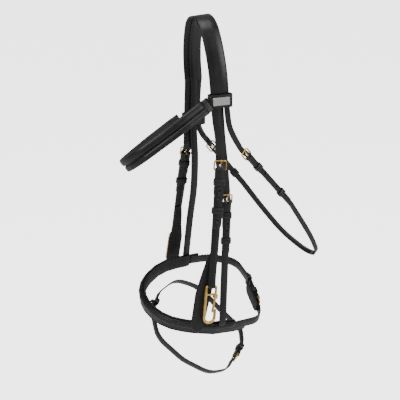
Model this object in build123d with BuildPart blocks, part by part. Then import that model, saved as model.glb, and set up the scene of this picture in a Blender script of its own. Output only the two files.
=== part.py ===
"""Snaffle bridle with snap-hook cheekpieces, padded flash noseband and padded browband.

Frame: millimetres, +Z up, +X towards the horse's left (near) side, -Y towards the nose.
The origin is the poll rest point, the middle of the crown's underside.
Each buckled strap is drawn in its own strap plane: x runs along the strap towards the
buckle's outer bar, y across its width and z out of its face, away from the horse.
"""
import os
from math import asin, pi, sin, tan

from build123d import *

os.makedirs("parts", exist_ok=True)

# Leather
CROWN_WIDTH = 32.0        # headpiece over the poll
CROWN_THICK = 3.5
SLIP_WIDTH = 13.0         # noseband cheek strap, over the poll under the crown
CHEEK_WIDTH = 16.0        # cheekpieces at the buckle
CHEEK_END_WIDTH = 13.0    # cheekpieces at the snap hook
THROAT_WIDTH = 10.0
FLASH_WIDTH = 13.0
JAW_WIDTH = 18.0
NOSE_WIDTH = 24.0
STRAP = 2.4               # one layer of strap leather
KEEPER_WALL = 1.5
KEEPER_LENGTH = 11.0
RUN_GAP = 0.4             # play of a sliding keeper

# Buckles
WIRE = 1.3                # radius of the buckle wire
REACH = 15.0              # heel bar to outer bar
EYE_GAP = 0.06            # running fit of a tongue on its heel bar
SKIN = 0.12               # air between leather layers that lie on each other
FOLD_IN = WIRE + SKIN     # strap end folded round a heel bar
FOLD_OUT = WIRE + 2.0
TONGUE = 2.0              # thickness and width of a buckle tongue

# Snap hooks
HOOK_BAR = 2.5            # radius of the hook's casting
HOOK_EYE_BAR = 2.0        # radius of the bar that the cheekpiece folds round
HOOK_DROP = 66.0          # eye bar to the bottom of the hook
HOOK_WIDTH = 23.0

# Noseband ring: plane tilted towards the near side
RING_ROLL = 19.0          # degrees
RING = Plane(origin=(-10, 5, -497), x_dir=(0.9455, 0, -0.3256), z_dir=(0.3256, 0, 0.9455))
# Flash ring: hangs lower still at the near side and at the rear
FLASH = Plane(origin=(0, -15.5, -550), x_dir=(0.258, 0.784, -0.565), z_dir=(0.634, 0.304, 0.711))


def strap_plane(outer_bar, along, outward):
    """Strap plane with its origin at the heel bar, REACH below the outer bar."""
    x = Vector(*along).normalized()
    face = Vector(*outward)
    face = (face - x * face.dot(x)).normalized()
    return Plane(origin=Vector(*outer_bar) - x * REACH, x_dir=x, z_dir=face)


def profile_plane(leg):
    """The strap seen from its edge: x along the strap, y out of its face."""
    return Plane(origin=leg.origin, x_dir=leg.x_dir, z_dir=-leg.y_dir)


def section_plane(leg, along, out=0.0):
    """The strap cut across: x across the width, y out of the face."""
    spot = leg.origin + leg.x_dir * along + leg.z_dir * out
    return Plane(origin=spot, x_dir=leg.y_dir, z_dir=leg.x_dir)


def spot(leg, along, out=0.0, side=0.0):
    """A point given in a strap plane, in the bridle's frame."""
    return leg.origin + leg.x_dir * along + leg.z_dir * out + leg.y_dir * side


def in_plane(plane, leg, along, out):
    """A point of a strap's edge profile, as x and y of another parallel plane."""
    point = plane.to_local_coords(spot(leg, along, out))
    return (point.X, point.Y)


def save(builder, node):
    """Label one finished piece and write it."""
    builder.part.label = node
    export_step(builder.part, f"parts/{node}.step")


# Billet route through a buckle: under the outer bar, then up over the folded strap end.
HEEL_R = FOLD_OUT + SKIN + STRAP / 2
BAR_R = WIRE + SKIN + STRAP / 2
CROSS = REACH * HEEL_R / (HEEL_R + BAR_R)
SLOPE = asin((HEEL_R + BAR_R) / REACH)
HEEL_CORNER = (CROSS - HEEL_R / tan(SLOPE), HEEL_R)
BAR_CORNER = (CROSS + BAR_R / tan(SLOPE), -BAR_R)
SETTLE = 14.0                              # the stack is even this far below the heel
BILLET_OUT = STRAP + SKIN + STRAP / 2      # middle of the billet on the doubled strap
HOLE_AT = 5.2                              # where the tongue crosses the billet
SPARE_HOLES = (-34, -46, -84)
HOLE_R = 1.6

near_cheek = strap_plane((60.5, 9.8, -223), (-0.115, 0.119, 0.986), (1, 0, 0))
far_cheek = strap_plane((-60, -2.6, -231), (0.29, 0.02, 0.957), (-1, 0, 0))
near_nose = strap_plane((57, 23.5, -285), (-0.083, 0.065, 0.994), (1, 0, 0))
near_throat = strap_plane((51, 56, -215), (0.13, -0.66, 0.74), (0.95, 0.30, 0.10))
far_throat = strap_plane((-45, 34, -224), (-0.098, -0.614, 0.782), (-1, 0, 0.1))
jaw = strap_plane(
    RING.from_local_coords((50.9, 91.5, 0)), RING.x_dir - RING.y_dir * 0.1, RING.y_dir
)
flash = strap_plane(
    FLASH.from_local_coords((93.7, -22.8, 0)), -FLASH.y_dir - FLASH.x_dir * 0.15, FLASH.x_dir
)

# node prefix: strap plane, strap width, fixed keeper, sliding keeper, billet tip
BUCKLES = {
    "near_cheek": (near_cheek, CHEEK_WIDTH, -20, -68, -100),
    "far_cheek": (far_cheek, CHEEK_WIDTH, -20, -58, -88),
    "near_noseband": (near_nose, SLIP_WIDTH, -20, -64, -90),
    "near_throatlatch": (near_throat, THROAT_WIDTH, -28, -102, -132),
    "far_throatlatch": (far_throat, THROAT_WIDTH, -20, -60, -80),
    "jaw": (jaw, JAW_WIDTH, -20, -54, -72),
    "flash": (flash, FLASH_WIDTH, -20, None, -32),
}
RETURN_LEAF = 42.0       # folded-back strap end, sewn down


def buckle_frame(node, leg, width):
    """Rounded wire rectangle; its lower side is the heel bar."""
    half = width / 2 + 1.4 + WIRE
    with BuildPart() as frame:
        with BuildLine(leg) as wire_line:
            FilletPolyline(
                (0, half), (REACH, half), (REACH, -half), (0, -half), radius=2.6, close=True
            )
        wire = wire_line.wires()[0]
        with BuildSketch(Plane(origin=wire @ 0, z_dir=wire % 0)):
            Circle(WIRE)
        sweep(path=wire)
    save(frame, node)


def buckle_tongue(node, leg):
    """Finger with an eye round the heel bar, resting just over the outer bar."""
    rest = WIRE + 0.15 + TONGUE / 2
    with BuildPart() as tongue:
        with BuildSketch(profile_plane(leg)):
            with BuildLine():
                Polyline((0.5, 1.6), (REACH * 0.55, 2.3), (REACH + 2.4, rest))
            trace(line_width=TONGUE)
            Circle(WIRE + EYE_GAP + 1.2)
            Circle(WIRE + EYE_GAP, mode=Mode.SUBTRACT)
        extrude(amount=TONGUE / 2, both=True)
    save(tongue, node)


def keeper(node, leg, along, width, low, high, gap):
    """Leather band round the strap; low and high are the faces of what it holds."""
    with BuildPart() as band:
        with BuildSketch(section_plane(leg, along)):
            with Locations((0, (low + high) / 2)):
                RectangleRounded(
                    width + 2 * (gap + KEEPER_WALL), high - low + 2 * (gap + KEEPER_WALL), 1.6
                )
                Rectangle(width + 2 * gap, high - low + 2 * gap, mode=Mode.SUBTRACT)
        extrude(amount=KEEPER_LENGTH / 2, both=True)
    save(band, node)


def folded_end(leg, width, length, lower_loop=0.0):
    """Strap sewn round a heel bar and running down; lower_loop folds its other end too."""
    front = [(0, FOLD_OUT), (-SETTLE, STRAP)]
    back = [(-SETTLE, -STRAP), (0, -FOLD_OUT)]
    if lower_loop:
        front += [(-length + SETTLE, STRAP), (-length, lower_loop)]
        back = [
            (-length, -lower_loop), (-length + SETTLE, -STRAP),
            (-length + RETURN_LEAF, -STRAP), (-length + RETURN_LEAF + 5, 0),
            (-RETURN_LEAF - 5, 0), (-RETURN_LEAF, -STRAP),
        ] + back
    elif length > RETURN_LEAF + 5:
        front += [(-length, STRAP)]
        back = [(-length, 0), (-RETURN_LEAF - 5, 0), (-RETURN_LEAF, -STRAP)] + back
    else:
        front += [(-length, STRAP)]
        back = [(-length, 0), (-length + 4, 0), (-length + 9, -STRAP)] + back
    with BuildSketch(profile_plane(leg)) as edge_view:
        with BuildLine():
            Polyline(*front, *back, close=True)
        make_face()
        Circle(FOLD_OUT)
        Circle(FOLD_IN, mode=Mode.SUBTRACT)
        if lower_loop:
            with Locations((-length, 0)):
                Circle(lower_loop)
                Circle(HOOK_EYE_BAR + SKIN, mode=Mode.SUBTRACT)
    extrude(edge_view.sketch, amount=width / 2, both=True)
    with BuildSketch(leg) as tongue_slot:
        with Locations((0.5, 0)):
            Rectangle(12, TONGUE + 1.6)
    extrude(tongue_slot.sketch, amount=FOLD_OUT + 1, both=True, mode=Mode.SUBTRACT)


def billet_end(leg, width, run_in, tip):
    """Punched strap end through its buckle, from run_in above the heel bar to its tip."""
    with BuildSketch(profile_plane(leg)) as edge_view:
        with BuildLine():
            FilletPolyline(
                (run_in, -BAR_R), BAR_CORNER, HEEL_CORNER, (-SETTLE, BILLET_OUT),
                (tip, BILLET_OUT), radius=[BAR_R, HEEL_R, 12],
            )
        trace(line_width=STRAP)
    extrude(edge_view.sketch, amount=width / 2, both=True)
    punch(leg, width, tip)


def punch(leg, width, tip):
    """Pointed tip, the hole that the tongue is in and the spare holes."""
    with BuildSketch(leg.offset(BILLET_OUT)) as corners:
        for side in (width / 2, -width / 2):
            with BuildLine():
                Polyline((tip, side), (tip, side / 6), (tip + width * 0.45, side), close=True)
            make_face()
    extrude(corners.sketch, amount=STRAP, both=True, mode=Mode.SUBTRACT)
    with BuildSketch(leg.offset(BILLET_OUT)) as holes:
        with Locations((HOLE_AT, 0)):
            SlotOverall(9.6, TONGUE + 1.6)
        with Locations(*[(at, 0) for at in SPARE_HOLES if at > tip + 8]):
            Circle(HOLE_R)
    extrude(holes.sketch, amount=2 * STRAP, both=True, mode=Mode.SUBTRACT)


def ribbon(stations, width, thick):
    """Flat strap that twists: each station is a point, a width direction and a tangent."""
    points = [Vector(*station[0]) for station in stations]
    last = len(points) - 1
    cuts = []
    for i, station in enumerate(stations):
        ahead = points[min(i + 1, last)] - points[max(i - 1, 0)]
        along = (Vector(*station[2]) if len(station) > 2 else ahead).normalized()
        across = Vector(*station[1])
        across = (across - along * across.dot(along)).normalized()
        with BuildSketch(Plane(origin=points[i], x_dir=across, z_dir=along)) as cut:
            Rectangle(width, thick)
        cuts.append(cut.sketch)
    loft(cuts, ruled=True)


# Buckles, tongues and keepers of all seven fastenings
for prefix, (leg, width, fixed, sliding, tip) in BUCKLES.items():
    buckle_frame(f"{prefix}_buckle", leg, width)
    buckle_tongue(f"{prefix}_tongue", leg)
    stack_top = BILLET_OUT + STRAP / 2
    keeper(f"{prefix}_fixed_keeper", leg, fixed, width, -STRAP, stack_top + 0.3, 0.0)
    if sliding is not None:
        keeper(f"{prefix}_sliding_keeper", leg, sliding, width, 0, stack_top, RUN_GAP)

# Crown: arch over the poll, then legs that split into cheek and throat billets
CROWN_PLANE = Plane(origin=(0, 0, 0), x_dir=(1, 0, 0), z_dir=(0, -0.9969, -0.0785))
CROWN_SPLIT = -116.0
POLL_R = 36.0
SHOULDER_R = 160.0


def arch(rise, thick, width, near_drop, far_drop):
    """Bent strip over the poll: a tight arc, then wider arcs that turn into straight legs."""
    with BuildSketch(CROWN_PLANE) as bend:
        with BuildLine():
            for side, drop in ((1, near_drop), (-1, far_drop)):
                top = JernArc((0, rise), (side, 0), POLL_R + rise, -60 * side)
                shoulder = JernArc(top @ 1, top % 1, SHOULDER_R + rise, -30 * side)
                Line(shoulder @ 1, ((shoulder @ 1).X, drop))
        trace(line_width=thick)
    extrude(bend.sketch, amount=width / 2, both=True)


SLIP_RISE = STRAP / 2
CROWN_RISE = STRAP + SKIN + CROWN_THICK / 2
LEG_X = POLL_R * sin(pi / 3) + SHOULDER_R * (1 - sin(pi / 3))  # half width at the legs
CROWN_X = LEG_X + CROWN_RISE
SLIP_X = LEG_X + SLIP_RISE


def crown_point(x, side, drop):
    """A point of the crown's legs: side is towards the tail."""
    return CROWN_PLANE.from_local_coords((x, drop, -side))


with BuildPart() as headpiece:
    arch(CROWN_RISE, CROWN_THICK, CROWN_WIDTH, CROWN_SPLIT, CROWN_SPLIT)
    # billets: near cheek, far cheek, near throat, far throat
    ribbon(
        [(crown_point(CROWN_X, -7.5, CROWN_SPLIT + 6), (0, 1, 0), (0, 0, -1)),
         ((57.6, 3.5, -150), (0, 1, 0)),
         ((58.4, 8.5, -185), (0, 1, 0)),
         (spot(near_cheek, 22, -BAR_R), near_cheek.y_dir, -near_cheek.x_dir)],
        CHEEK_WIDTH, STRAP,
    )
    ribbon(
        [(crown_point(-CROWN_X, -7.5, CROWN_SPLIT + 6), (0, 1, 0), (0, 0, -1)),
         ((-57.6, 0, -160), (0, 1, 0)),
         ((-58.6, -0.6, -190), (0, 1, 0)),
         (spot(far_cheek, 22, -BAR_R), far_cheek.y_dir, -far_cheek.x_dir)],
        CHEEK_WIDTH, STRAP,
    )
    ribbon(
        [(crown_point(CROWN_X, 10.5, CROWN_SPLIT + 6), (0, 1, 0), (0, 0, -1)),
         ((57.6, 22, -140), (0, 1, 0.02)),
         ((56, 26.5, -165), (0, 1, 0.2)),
         ((54, 34.5, -184), (0, 1, 0.5)),
         (spot(near_throat, 22, -BAR_R), near_throat.y_dir, -near_throat.x_dir)],
        THROAT_WIDTH, STRAP,
    )
    ribbon(
        [(crown_point(-CROWN_X, 10.5, CROWN_SPLIT + 6), (0, 1, 0), (0, 0, -1)),
         ((-57.6, 17, -150), (0, 1, 0)),
         ((-57, 18, -190), (0, 1, 0.1)),
         ((-51.5, 22.5, -207), (0, 1, 0.4)),
         (spot(far_throat, 22, -BAR_R), far_throat.y_dir, -far_throat.x_dir)],
        THROAT_WIDTH, STRAP,
    )
    for prefix in ("near_cheek", "far_cheek", "near_throatlatch", "far_throatlatch"):
        leg, width, fixed, sliding, tip = BUCKLES[prefix]
        billet_end(leg, width, 22, tip)
save(headpiece, "headpiece")

with BuildPart() as sliphead:
    arch(SLIP_RISE, STRAP, SLIP_WIDTH, -124, -124)
    ribbon(
        [(crown_point(SLIP_X, 0, -124), (0, 1, 0), (0, 0, -1)),
         ((53.8, 14, -180), (0, 1, 0)),
         ((53.8, 19, -225), (0, 1, 0)),
         (spot(near_nose, 22, -BAR_R), near_nose.y_dir, -near_nose.x_dir)],
        SLIP_WIDTH, STRAP,
    )
    billet_end(near_nose, SLIP_WIDTH, 22, BUCKLES["near_noseband"][4])
    ribbon(
        [(crown_point(-SLIP_X, 0, -124), (0, 1, 0), (0, 0, -1)),
         ((-53, 7.5, -200), (0, 1, 0)),
         ((-53, 9.5, -250), (0, 1, 0)),
         ((-62, 11, -310), (0, 1, 0)),
         ((-77, 9, -375), (0, 1, 0)),
         (RING.from_local_coords((-95.6, 4, 6)), (0, 1, 0), -RING.z_dir)],
        SLIP_WIDTH, STRAP,
    )

# Cheekpieces: sewn round the buckle above and round the snap hook's eye bar below
LOW_FOLD = HOOK_EYE_BAR + SKIN + 2.1
NEAR_DROP = 199.0         # heel bar to hook eye bar
FAR_DROP = 175.0


def cheekpiece(node, leg, drop):
    """One cheekpiece, tapering towards the hook."""
    with BuildPart() as strap:
        folded_end(leg, CHEEK_WIDTH, drop, LOW_FOLD)
        with BuildSketch(leg) as taper:
            with BuildLine():
                top, end = CHEEK_WIDTH / 2, CHEEK_END_WIDTH / 2
                Polyline(
                    (8, top), (-50, top), (-drop - 8, end), (-drop - 8, -end), (-50, -top),
                    (8, -top), close=True,
                )
            make_face()
        extrude(taper.sketch, amount=10, both=True, mode=Mode.INTERSECT)
    save(strap, node)


def guard_flap(node, leg, route, outline):
    """Leather pad behind the snap hook: bent along its route, cut to its outline."""
    with BuildPart() as flap:
        with BuildSketch(profile_plane(leg)) as bend:
            with BuildLine():
                FilletPolyline(*route, radius=14)
            trace(line_width=2.6)
        extrude(bend.sketch, amount=40, both=True)
        with BuildSketch(leg) as shape:
            with BuildLine():
                FilletPolyline(*outline, radius=3, close=True)
            make_face()
        extrude(shape.sketch, amount=20, both=True, mode=Mode.INTERSECT)
    save(flap, node)


def snap_hook(prefix, leg, drop, front):
    """Cast hook with a square eye, and its sprung gate on a pin; front is the nose side."""
    half = HOOK_WIDTH / 2 - HOOK_BAR
    bottom = -drop - HOOK_DROP + HOOK_BAR
    pivot = (-drop - 18.5, -(half - 0.6) * front)
    with BuildPart() as hook:
        for points, radius, bar, closed in (
            (((-drop, half), (-drop - 14, half), (-drop - 14, -half), (-drop, -half)),
             2.2, HOOK_EYE_BAR, True),
            (((-drop - 8, half * front), (bottom, (half + 0.5) * front),
              (bottom, -(half + 0.5) * front), (-drop - 41, -(half + 0.5) * front)),
             half, HOOK_BAR, False),
        ):
            with BuildLine(leg) as route:
                FilletPolyline(*points, radius=radius, close=closed)
            wire = route.wires()[0]
            with BuildSketch(Plane(origin=wire @ 0, z_dir=wire % 0)) as bar_cut:
                Circle(bar)
            sweep(bar_cut.sketch, path=wire)
        with BuildSketch(leg) as lug:
            with Locations(pivot):
                Circle(3.4)
            with Locations((pivot[0] + 2.2, pivot[1])):
                Rectangle(4.4, 6.8)
        extrude(lug.sketch, amount=3.4, both=True)
        with BuildSketch(leg) as gate_slot:
            with Locations((pivot[0] - 1.2, pivot[1])):
                Rectangle(9.2, 9)
        extrude(gate_slot.sketch, amount=1.8, both=True, mode=Mode.SUBTRACT)
        with BuildSketch(leg) as pin_hole:
            with Locations(pivot):
                Circle(1.0)
        extrude(pin_hole.sketch, amount=5, both=True, mode=Mode.SUBTRACT)
    save(hook, f"{prefix}_snap_hook")
    with BuildPart() as gate:
        with BuildSketch(leg) as finger:
            with BuildLine():
                Polyline(pivot, (-drop - 45.5, -(half - HOOK_BAR - 1.6) * front))
            trace(line_width=3)
            with Locations(pivot):
                Circle(2.9)
                Circle(1.0 + EYE_GAP, mode=Mode.SUBTRACT)
        extrude(finger.sketch, amount=1.5, both=True)
    save(gate, f"{prefix}_hook_gate")
    with BuildPart() as pin:
        with BuildSketch(leg) as pin_cut:
            with Locations(pivot):
                Circle(1.0)
        extrude(pin_cut.sketch, amount=3.6, both=True)
    save(pin, f"{prefix}_gate_pin")


cheekpiece("near_cheekpiece", near_cheek, NEAR_DROP)
cheekpiece("far_cheekpiece", far_cheek, FAR_DROP)
snap_hook("near", near_cheek, NEAR_DROP, 1)
snap_hook("far", far_cheek, FAR_DROP, -1)
guard_flap(
    "near_guard_flap", near_cheek,
    ((-138, -1.5), (-156, -5.4), (-190, -6.4), (-278, -6.4)),
    ((-138, 5), (-176, 16), (-215, 26), (-262, 30), (-278, 27), (-278, 8), (-190, -7), (-138, -5)),
)
guard_flap(
    "far_guard_flap", far_cheek,
    ((-114, -1.5), (-132, -5.4), (-166, -6.4), (-252, -6.4)),
    ((-114, 6), (-150, 8), (-180, 13), (-252, 13), (-252, -13), (-180, -13), (-150, -8),
     (-114, -6)),
)


def band(plane, points, radii, inner, outer, low, high):
    """Bent strip between two offsets of a clockwise route (out is positive)."""
    with BuildLine() as route:
        FilletPolyline(*points, radius=radii)
    middle = (inner + outer) / 2
    wire = route.wires()[0]
    if abs(middle) > 0.01:
        side = Side.LEFT if middle > 0 else Side.RIGHT
        wire = wire.offset_2d(abs(middle), side=side, closed=False)
    with BuildSketch(plane.offset((low + high) / 2)) as strip:
        trace(wire, line_width=outer - inner)
    extrude(strip.sketch, amount=(high - low) / 2, both=True)


# Noseband: outer strap, core and lining sewn together, with a raised roll on the outside
NOSE_RADII = [140, 80, 70, 100]
NOSE_BENDS = ((88, -10), (45, -100), (-35, -112), (-93, -50))
NEAR_JOINT = (85 + 1 / 3, 30)   # the jaw straps are sewn in from here back
FAR_JOINT = (-96.1, 12)
LINING = 5.0
ROLL = 3.2


def nose_route(near_end=NEAR_JOINT, far_end=FAR_JOINT):
    """Route of the nose part, from the near side round the nose to the far side."""
    return (near_end, *NOSE_BENDS, far_end)


with BuildPart() as noseband_outer_strap:
    band(RING, nose_route((84, 50), (-97, 30)), NOSE_RADII, 0, STRAP, -12, 12)
with BuildPart() as noseband_raised_roll:
    band(RING, nose_route(far_end=(-95.5, 0)), NOSE_RADII, STRAP, STRAP + ROLL, 1, 11)
with BuildPart() as noseband_lining:
    band(RING, nose_route(), NOSE_RADII, -STRAP - LINING, -STRAP, -12, 14)

# Noseband cheek strap, near side, sewn in between the noseband's layers
with BuildPart() as near_noseband_strap:
    folded_end(near_nose, SLIP_WIDTH, 150)
    ribbon(
        [(spot(near_nose, -150, STRAP / 2), near_nose.y_dir, -near_nose.x_dir),
         (RING.from_local_coords((86.6, 3, 22)), near_nose.y_dir, -RING.z_dir),
         (RING.from_local_coords((86.6, 3, 2)), near_nose.y_dir, -RING.z_dir)],
        SLIP_WIDTH, STRAP,
    )
    for layer in (noseband_outer_strap, noseband_lining, noseband_raised_roll):
        add(layer.part, mode=Mode.SUBTRACT)
with BuildPart() as noseband_core:
    band(RING, nose_route(), NOSE_RADII, -STRAP, 0, -10, 10)
    add(near_noseband_strap.part, mode=Mode.SUBTRACT)
    add(sliphead.part, mode=Mode.SUBTRACT)
for layer in (noseband_outer_strap, noseband_lining, noseband_raised_roll):
    with BuildPart() as trimmed:
        add(sliphead.part)
        add(layer.part, mode=Mode.SUBTRACT)
    sliphead = trimmed
save(sliphead, "sliphead")
save(near_noseband_strap, "near_noseband_strap")
save(noseband_core, "noseband_core")
save(noseband_outer_strap, "noseband_outer_strap")
save(noseband_raised_roll, "noseband_raised_roll")
save(noseband_lining, "noseband_lining")

# Jaw straps: billet from the near side, buckle strap from the far side, pad beneath
def in_ring(along, out):
    return in_plane(RING, jaw, along, out)


with BuildPart() as jaw_billet_strap:
    tip = BUCKLES["jaw"][4]
    with BuildSketch(RING):
        with BuildLine():
            FilletPolyline(
                in_ring(tip, BILLET_OUT), in_ring(-SETTLE, BILLET_OUT), in_ring(*HEEL_CORNER),
                in_ring(*BAR_CORNER), (80.5, 85.4), (82.9, 48), (84.1, 30),
                radius=[12, HEEL_R, BAR_R, 24, 60],
            )
        trace(line_width=STRAP)
    extrude(amount=JAW_WIDTH / 2, both=True)
    punch(jaw, JAW_WIDTH, tip)
save(jaw_billet_strap, "jaw_billet_strap")

with BuildPart() as jaw_buckle_strap:
    folded_end(jaw, JAW_WIDTH, 55)
    with BuildSketch(RING):
        with BuildLine():
            FilletPolyline(
                in_ring(-55, STRAP / 2), in_ring(-64, STRAP / 2), (-72, 97), (-93.9, 50),
                (-94.9, 12.8), radius=[60, 34, 60],
            )
        trace(line_width=STRAP)
    extrude(amount=JAW_WIDTH / 2, both=True)
save(jaw_buckle_strap, "jaw_buckle_strap")

with BuildPart() as jaw_pad:
    under = -STRAP - KEEPER_WALL
    with BuildSketch(profile_plane(jaw)):
        with BuildLine():
            Polyline(
                (-40, under), (-5, under), (-1, under - 0.3), (22, under - 0.3),
                (22, under - 3.6), (-38, under - 3.6), close=True,
            )
        make_face()
    extrude(amount=JAW_WIDTH / 2 + 2, both=True)
save(jaw_pad, "jaw_pad")

# Flash strap: one strap that runs from its buckle round to its own tip
def in_flash(along, out):
    return in_plane(FLASH, flash, along, out)


with BuildPart() as flash_strap:
    tip = BUCKLES["flash"][4]
    folded_end(flash, FLASH_WIDTH, 34)
    with BuildSketch(FLASH):
        with BuildLine():
            FilletPolyline(
                in_flash(tip, BILLET_OUT), in_flash(-SETTLE, BILLET_OUT),
                in_flash(*HEEL_CORNER), in_flash(*BAR_CORNER), (87, -46), (55, -72), (0, -75),
                (-58, -60), (-81, -20), (-83, 26), (-60, 72), (-12, 86), (40, 66), (93, 50),
                in_flash(-34, STRAP / 2),
                radius=[12, HEEL_R, BAR_R, 30, 50, 60, 40, 40, 40, 40, 60, 60, 14],
            )
        trace(line_width=STRAP)
    extrude(amount=FLASH_WIDTH / 2, both=True)
    punch(flash, FLASH_WIDTH, tip)
save(flash_strap, "flash_strap")

# Loop on the noseband's inside that the flash strap hangs in
LOOP_PLAY = 1.4
with BuildPart() as flash_loop:
    loop_plane = Plane(
        origin=FLASH.from_local_coords((-82, 3, 0)), x_dir=-FLASH.x_dir, z_dir=FLASH.y_dir
    )
    with BuildSketch(loop_plane):
        high = FLASH_WIDTH + 2 * (LOOP_PLAY + KEEPER_WALL)
        deep = STRAP + 2 * (LOOP_PLAY + KEEPER_WALL)
        RectangleRounded(deep, high, 1.5)
        with Locations((deep / 2 + 6, 0)):
            Rectangle(14, 8)
        Rectangle(STRAP + 2 * LOOP_PLAY, FLASH_WIDTH + 2 * LOOP_PLAY, mode=Mode.SUBTRACT)
    extrude(amount=5, both=True)
    for layer in (noseband_lining, noseband_core, noseband_outer_strap, noseband_raised_roll):
        add(layer.part, mode=Mode.SUBTRACT)
    solids = flash_loop.part.solids().sort_by(SortBy.VOLUME)
    for scrap in solids[:-1]:
        add(scrap, mode=Mode.SUBTRACT)
save(flash_loop, "flash_loop")

# Throatlatch strap: buckled at both ends, hanging in a long loop
with BuildPart() as throatlatch:
    folded_end(near_throat, THROAT_WIDTH, 138)
    folded_end(far_throat, THROAT_WIDTH, 86)
    hang = (-0.2, 0.72, 0.66)
    ribbon(
        [(spot(near_throat, -138, STRAP / 2), -near_throat.y_dir, -near_throat.x_dir),
         ((22, 188, -372), hang),
         ((13, 211, -406), hang),
         ((5, 226, -432), hang),
         ((-1, 231, -443), hang),
         ((-8, 230, -449), hang),
         ((-15, 221, -446), hang),
         ((-20, 204, -433), hang),
         ((-26, 172, -402), hang),
         ((-31, 135, -356), (-0.06, 0.76, 0.63)),
         (spot(far_throat, -86, STRAP / 2), far_throat.y_dir, far_throat.x_dir)],
        THROAT_WIDTH, STRAP,
    )
save(throatlatch, "throatlatch")

# Browband: base strap with a loop at each end, two rolls outside, lining inside
BROW = Plane(origin=(0, -9, -151.5), x_dir=(0.898, 0.03, 0.44), z_dir=(-0.35, -0.494, 0.796))
BROW_BENDS = ((65.2, -75), (30, -152), (-30, -152), (-65.2, -75))
BROW_RADII = [90, 45, 45, 90]
BROW_HALF = 11.5
LOOP_WALL = 2.2
LOOP_HEIGHT = 22.0
BROW_LOOPS = (((55.8, 10, -123), (8.4, 36.4)), ((-56, 8.6, -180), (8.6, 36.4)))


def brow_band(near_end, far_end, inner, outer, low, high):
    """One layer of the browband, between two offsets and two heights."""
    band(BROW, (near_end, *BROW_BENDS, far_end), BROW_RADII, inner, outer, low, high)


with BuildPart() as browband_strap:
    brow_band((65.2, -3), (-65.2, -1), 0, STRAP, -BROW_HALF, BROW_HALF)
    for centre, (wide, long) in BROW_LOOPS:
        with BuildSketch(Plane(origin=centre)):
            RectangleRounded(wide + 2 * LOOP_WALL, long + 2 * LOOP_WALL, 3)
        extrude(amount=LOOP_HEIGHT / 2, both=True)
    for centre, (wide, long) in BROW_LOOPS:
        with BuildSketch(Plane(origin=centre)):
            RectangleRounded(wide, long, 1)
        extrude(amount=LOOP_HEIGHT, both=True, mode=Mode.SUBTRACT)
with BuildPart() as browband_upper_roll:
    brow_band((65.2, -14), (-65.2, -14), STRAP, STRAP + 4, -0.5, BROW_HALF + 0.5)
with BuildPart() as browband_lower_roll:
    brow_band((65.2, -14), (-65.2, -14), STRAP, STRAP + 3, -BROW_HALF - 0.5, -2)
with BuildPart() as browband_lining:
    brow_band((65.2, -20), (-65.2, -20), -3.5, 0, -BROW_HALF, BROW_HALF)
save(browband_strap, "browband_strap")
save(browband_upper_roll, "browband_upper_roll")
save(browband_lower_roll, "browband_lower_roll")
save(browband_lining, "browband_lining")

# Plain metal plate on the outside of the near loop
with BuildPart() as nameplate:
    (x, y, z), (wide, long) = BROW_LOOPS[0]
    face = Vector(x + wide / 2 + LOOP_WALL, y, z)
    with BuildSketch(Plane(origin=face, x_dir=(0, 1, 0), z_dir=(1, 0, 0))):
        RectangleRounded(29, 13, 1.2)
    extrude(amount=1.0)
    chamfer(nameplate.faces().sort_by(Axis.X)[-1].edges(), 0.3)
save(nameplate, "nameplate")
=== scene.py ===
# %% [markdown]
# # A snaffle bridle
# A bridle is harness for a horse's head: straps of black leather, folded round brass
# buckles, held flat by small leather loops called keepers. The measured model of it is
# loaded first and never moved. Everything made below lies in the same place as the solid
# that it stands for, because the moving pieces turn about points of that model.

# %% Load the measured model
from math import asin, cos, pi, radians, sin, sqrt, tan

import bmesh
import bpy
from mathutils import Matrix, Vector


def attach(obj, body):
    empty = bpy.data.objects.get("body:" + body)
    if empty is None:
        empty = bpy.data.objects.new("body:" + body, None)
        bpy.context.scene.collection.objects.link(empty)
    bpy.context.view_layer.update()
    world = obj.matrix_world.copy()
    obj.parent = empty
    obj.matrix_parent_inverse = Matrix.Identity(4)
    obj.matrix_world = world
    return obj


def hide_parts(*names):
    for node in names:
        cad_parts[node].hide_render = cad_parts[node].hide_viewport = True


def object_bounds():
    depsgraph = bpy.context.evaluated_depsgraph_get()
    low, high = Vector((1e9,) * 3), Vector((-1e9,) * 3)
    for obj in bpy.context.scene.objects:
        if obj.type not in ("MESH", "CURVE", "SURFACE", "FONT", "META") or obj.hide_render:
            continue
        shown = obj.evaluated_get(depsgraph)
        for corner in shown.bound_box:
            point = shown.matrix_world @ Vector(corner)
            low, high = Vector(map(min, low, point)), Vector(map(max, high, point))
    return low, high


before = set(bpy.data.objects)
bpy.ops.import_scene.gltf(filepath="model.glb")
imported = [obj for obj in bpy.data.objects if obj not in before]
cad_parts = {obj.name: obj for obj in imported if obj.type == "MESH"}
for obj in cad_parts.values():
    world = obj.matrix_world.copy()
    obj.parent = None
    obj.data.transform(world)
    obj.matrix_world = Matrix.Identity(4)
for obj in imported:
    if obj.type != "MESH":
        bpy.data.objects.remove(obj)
cad_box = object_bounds()

# %% [markdown]
# ## The maker's measures
# A bridle maker works in millimetres, so routes and widths are written that way, and one
# factor turns them into Blender's metres when a mesh is made. One layer of strap leather
# is a hair thinner here than in the solid model, so that layers never share a face.

# %% Measures
MM = 0.001
LEATHER = 2.4
LAYER = 2.3
SKIN = 0.12
WIRE = 1.3
REACH = 15.0
FOLD = 3.3
EYE_BAR = 2.0
RETURN_LEAF = 42.0
SETTLE = 14.0
BILLET_OUT = LEATHER + SKIN + LEATHER / 2
UP = Vector((0, 0, 1))
print("one layer of leather is", LEATHER, "mm")

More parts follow.
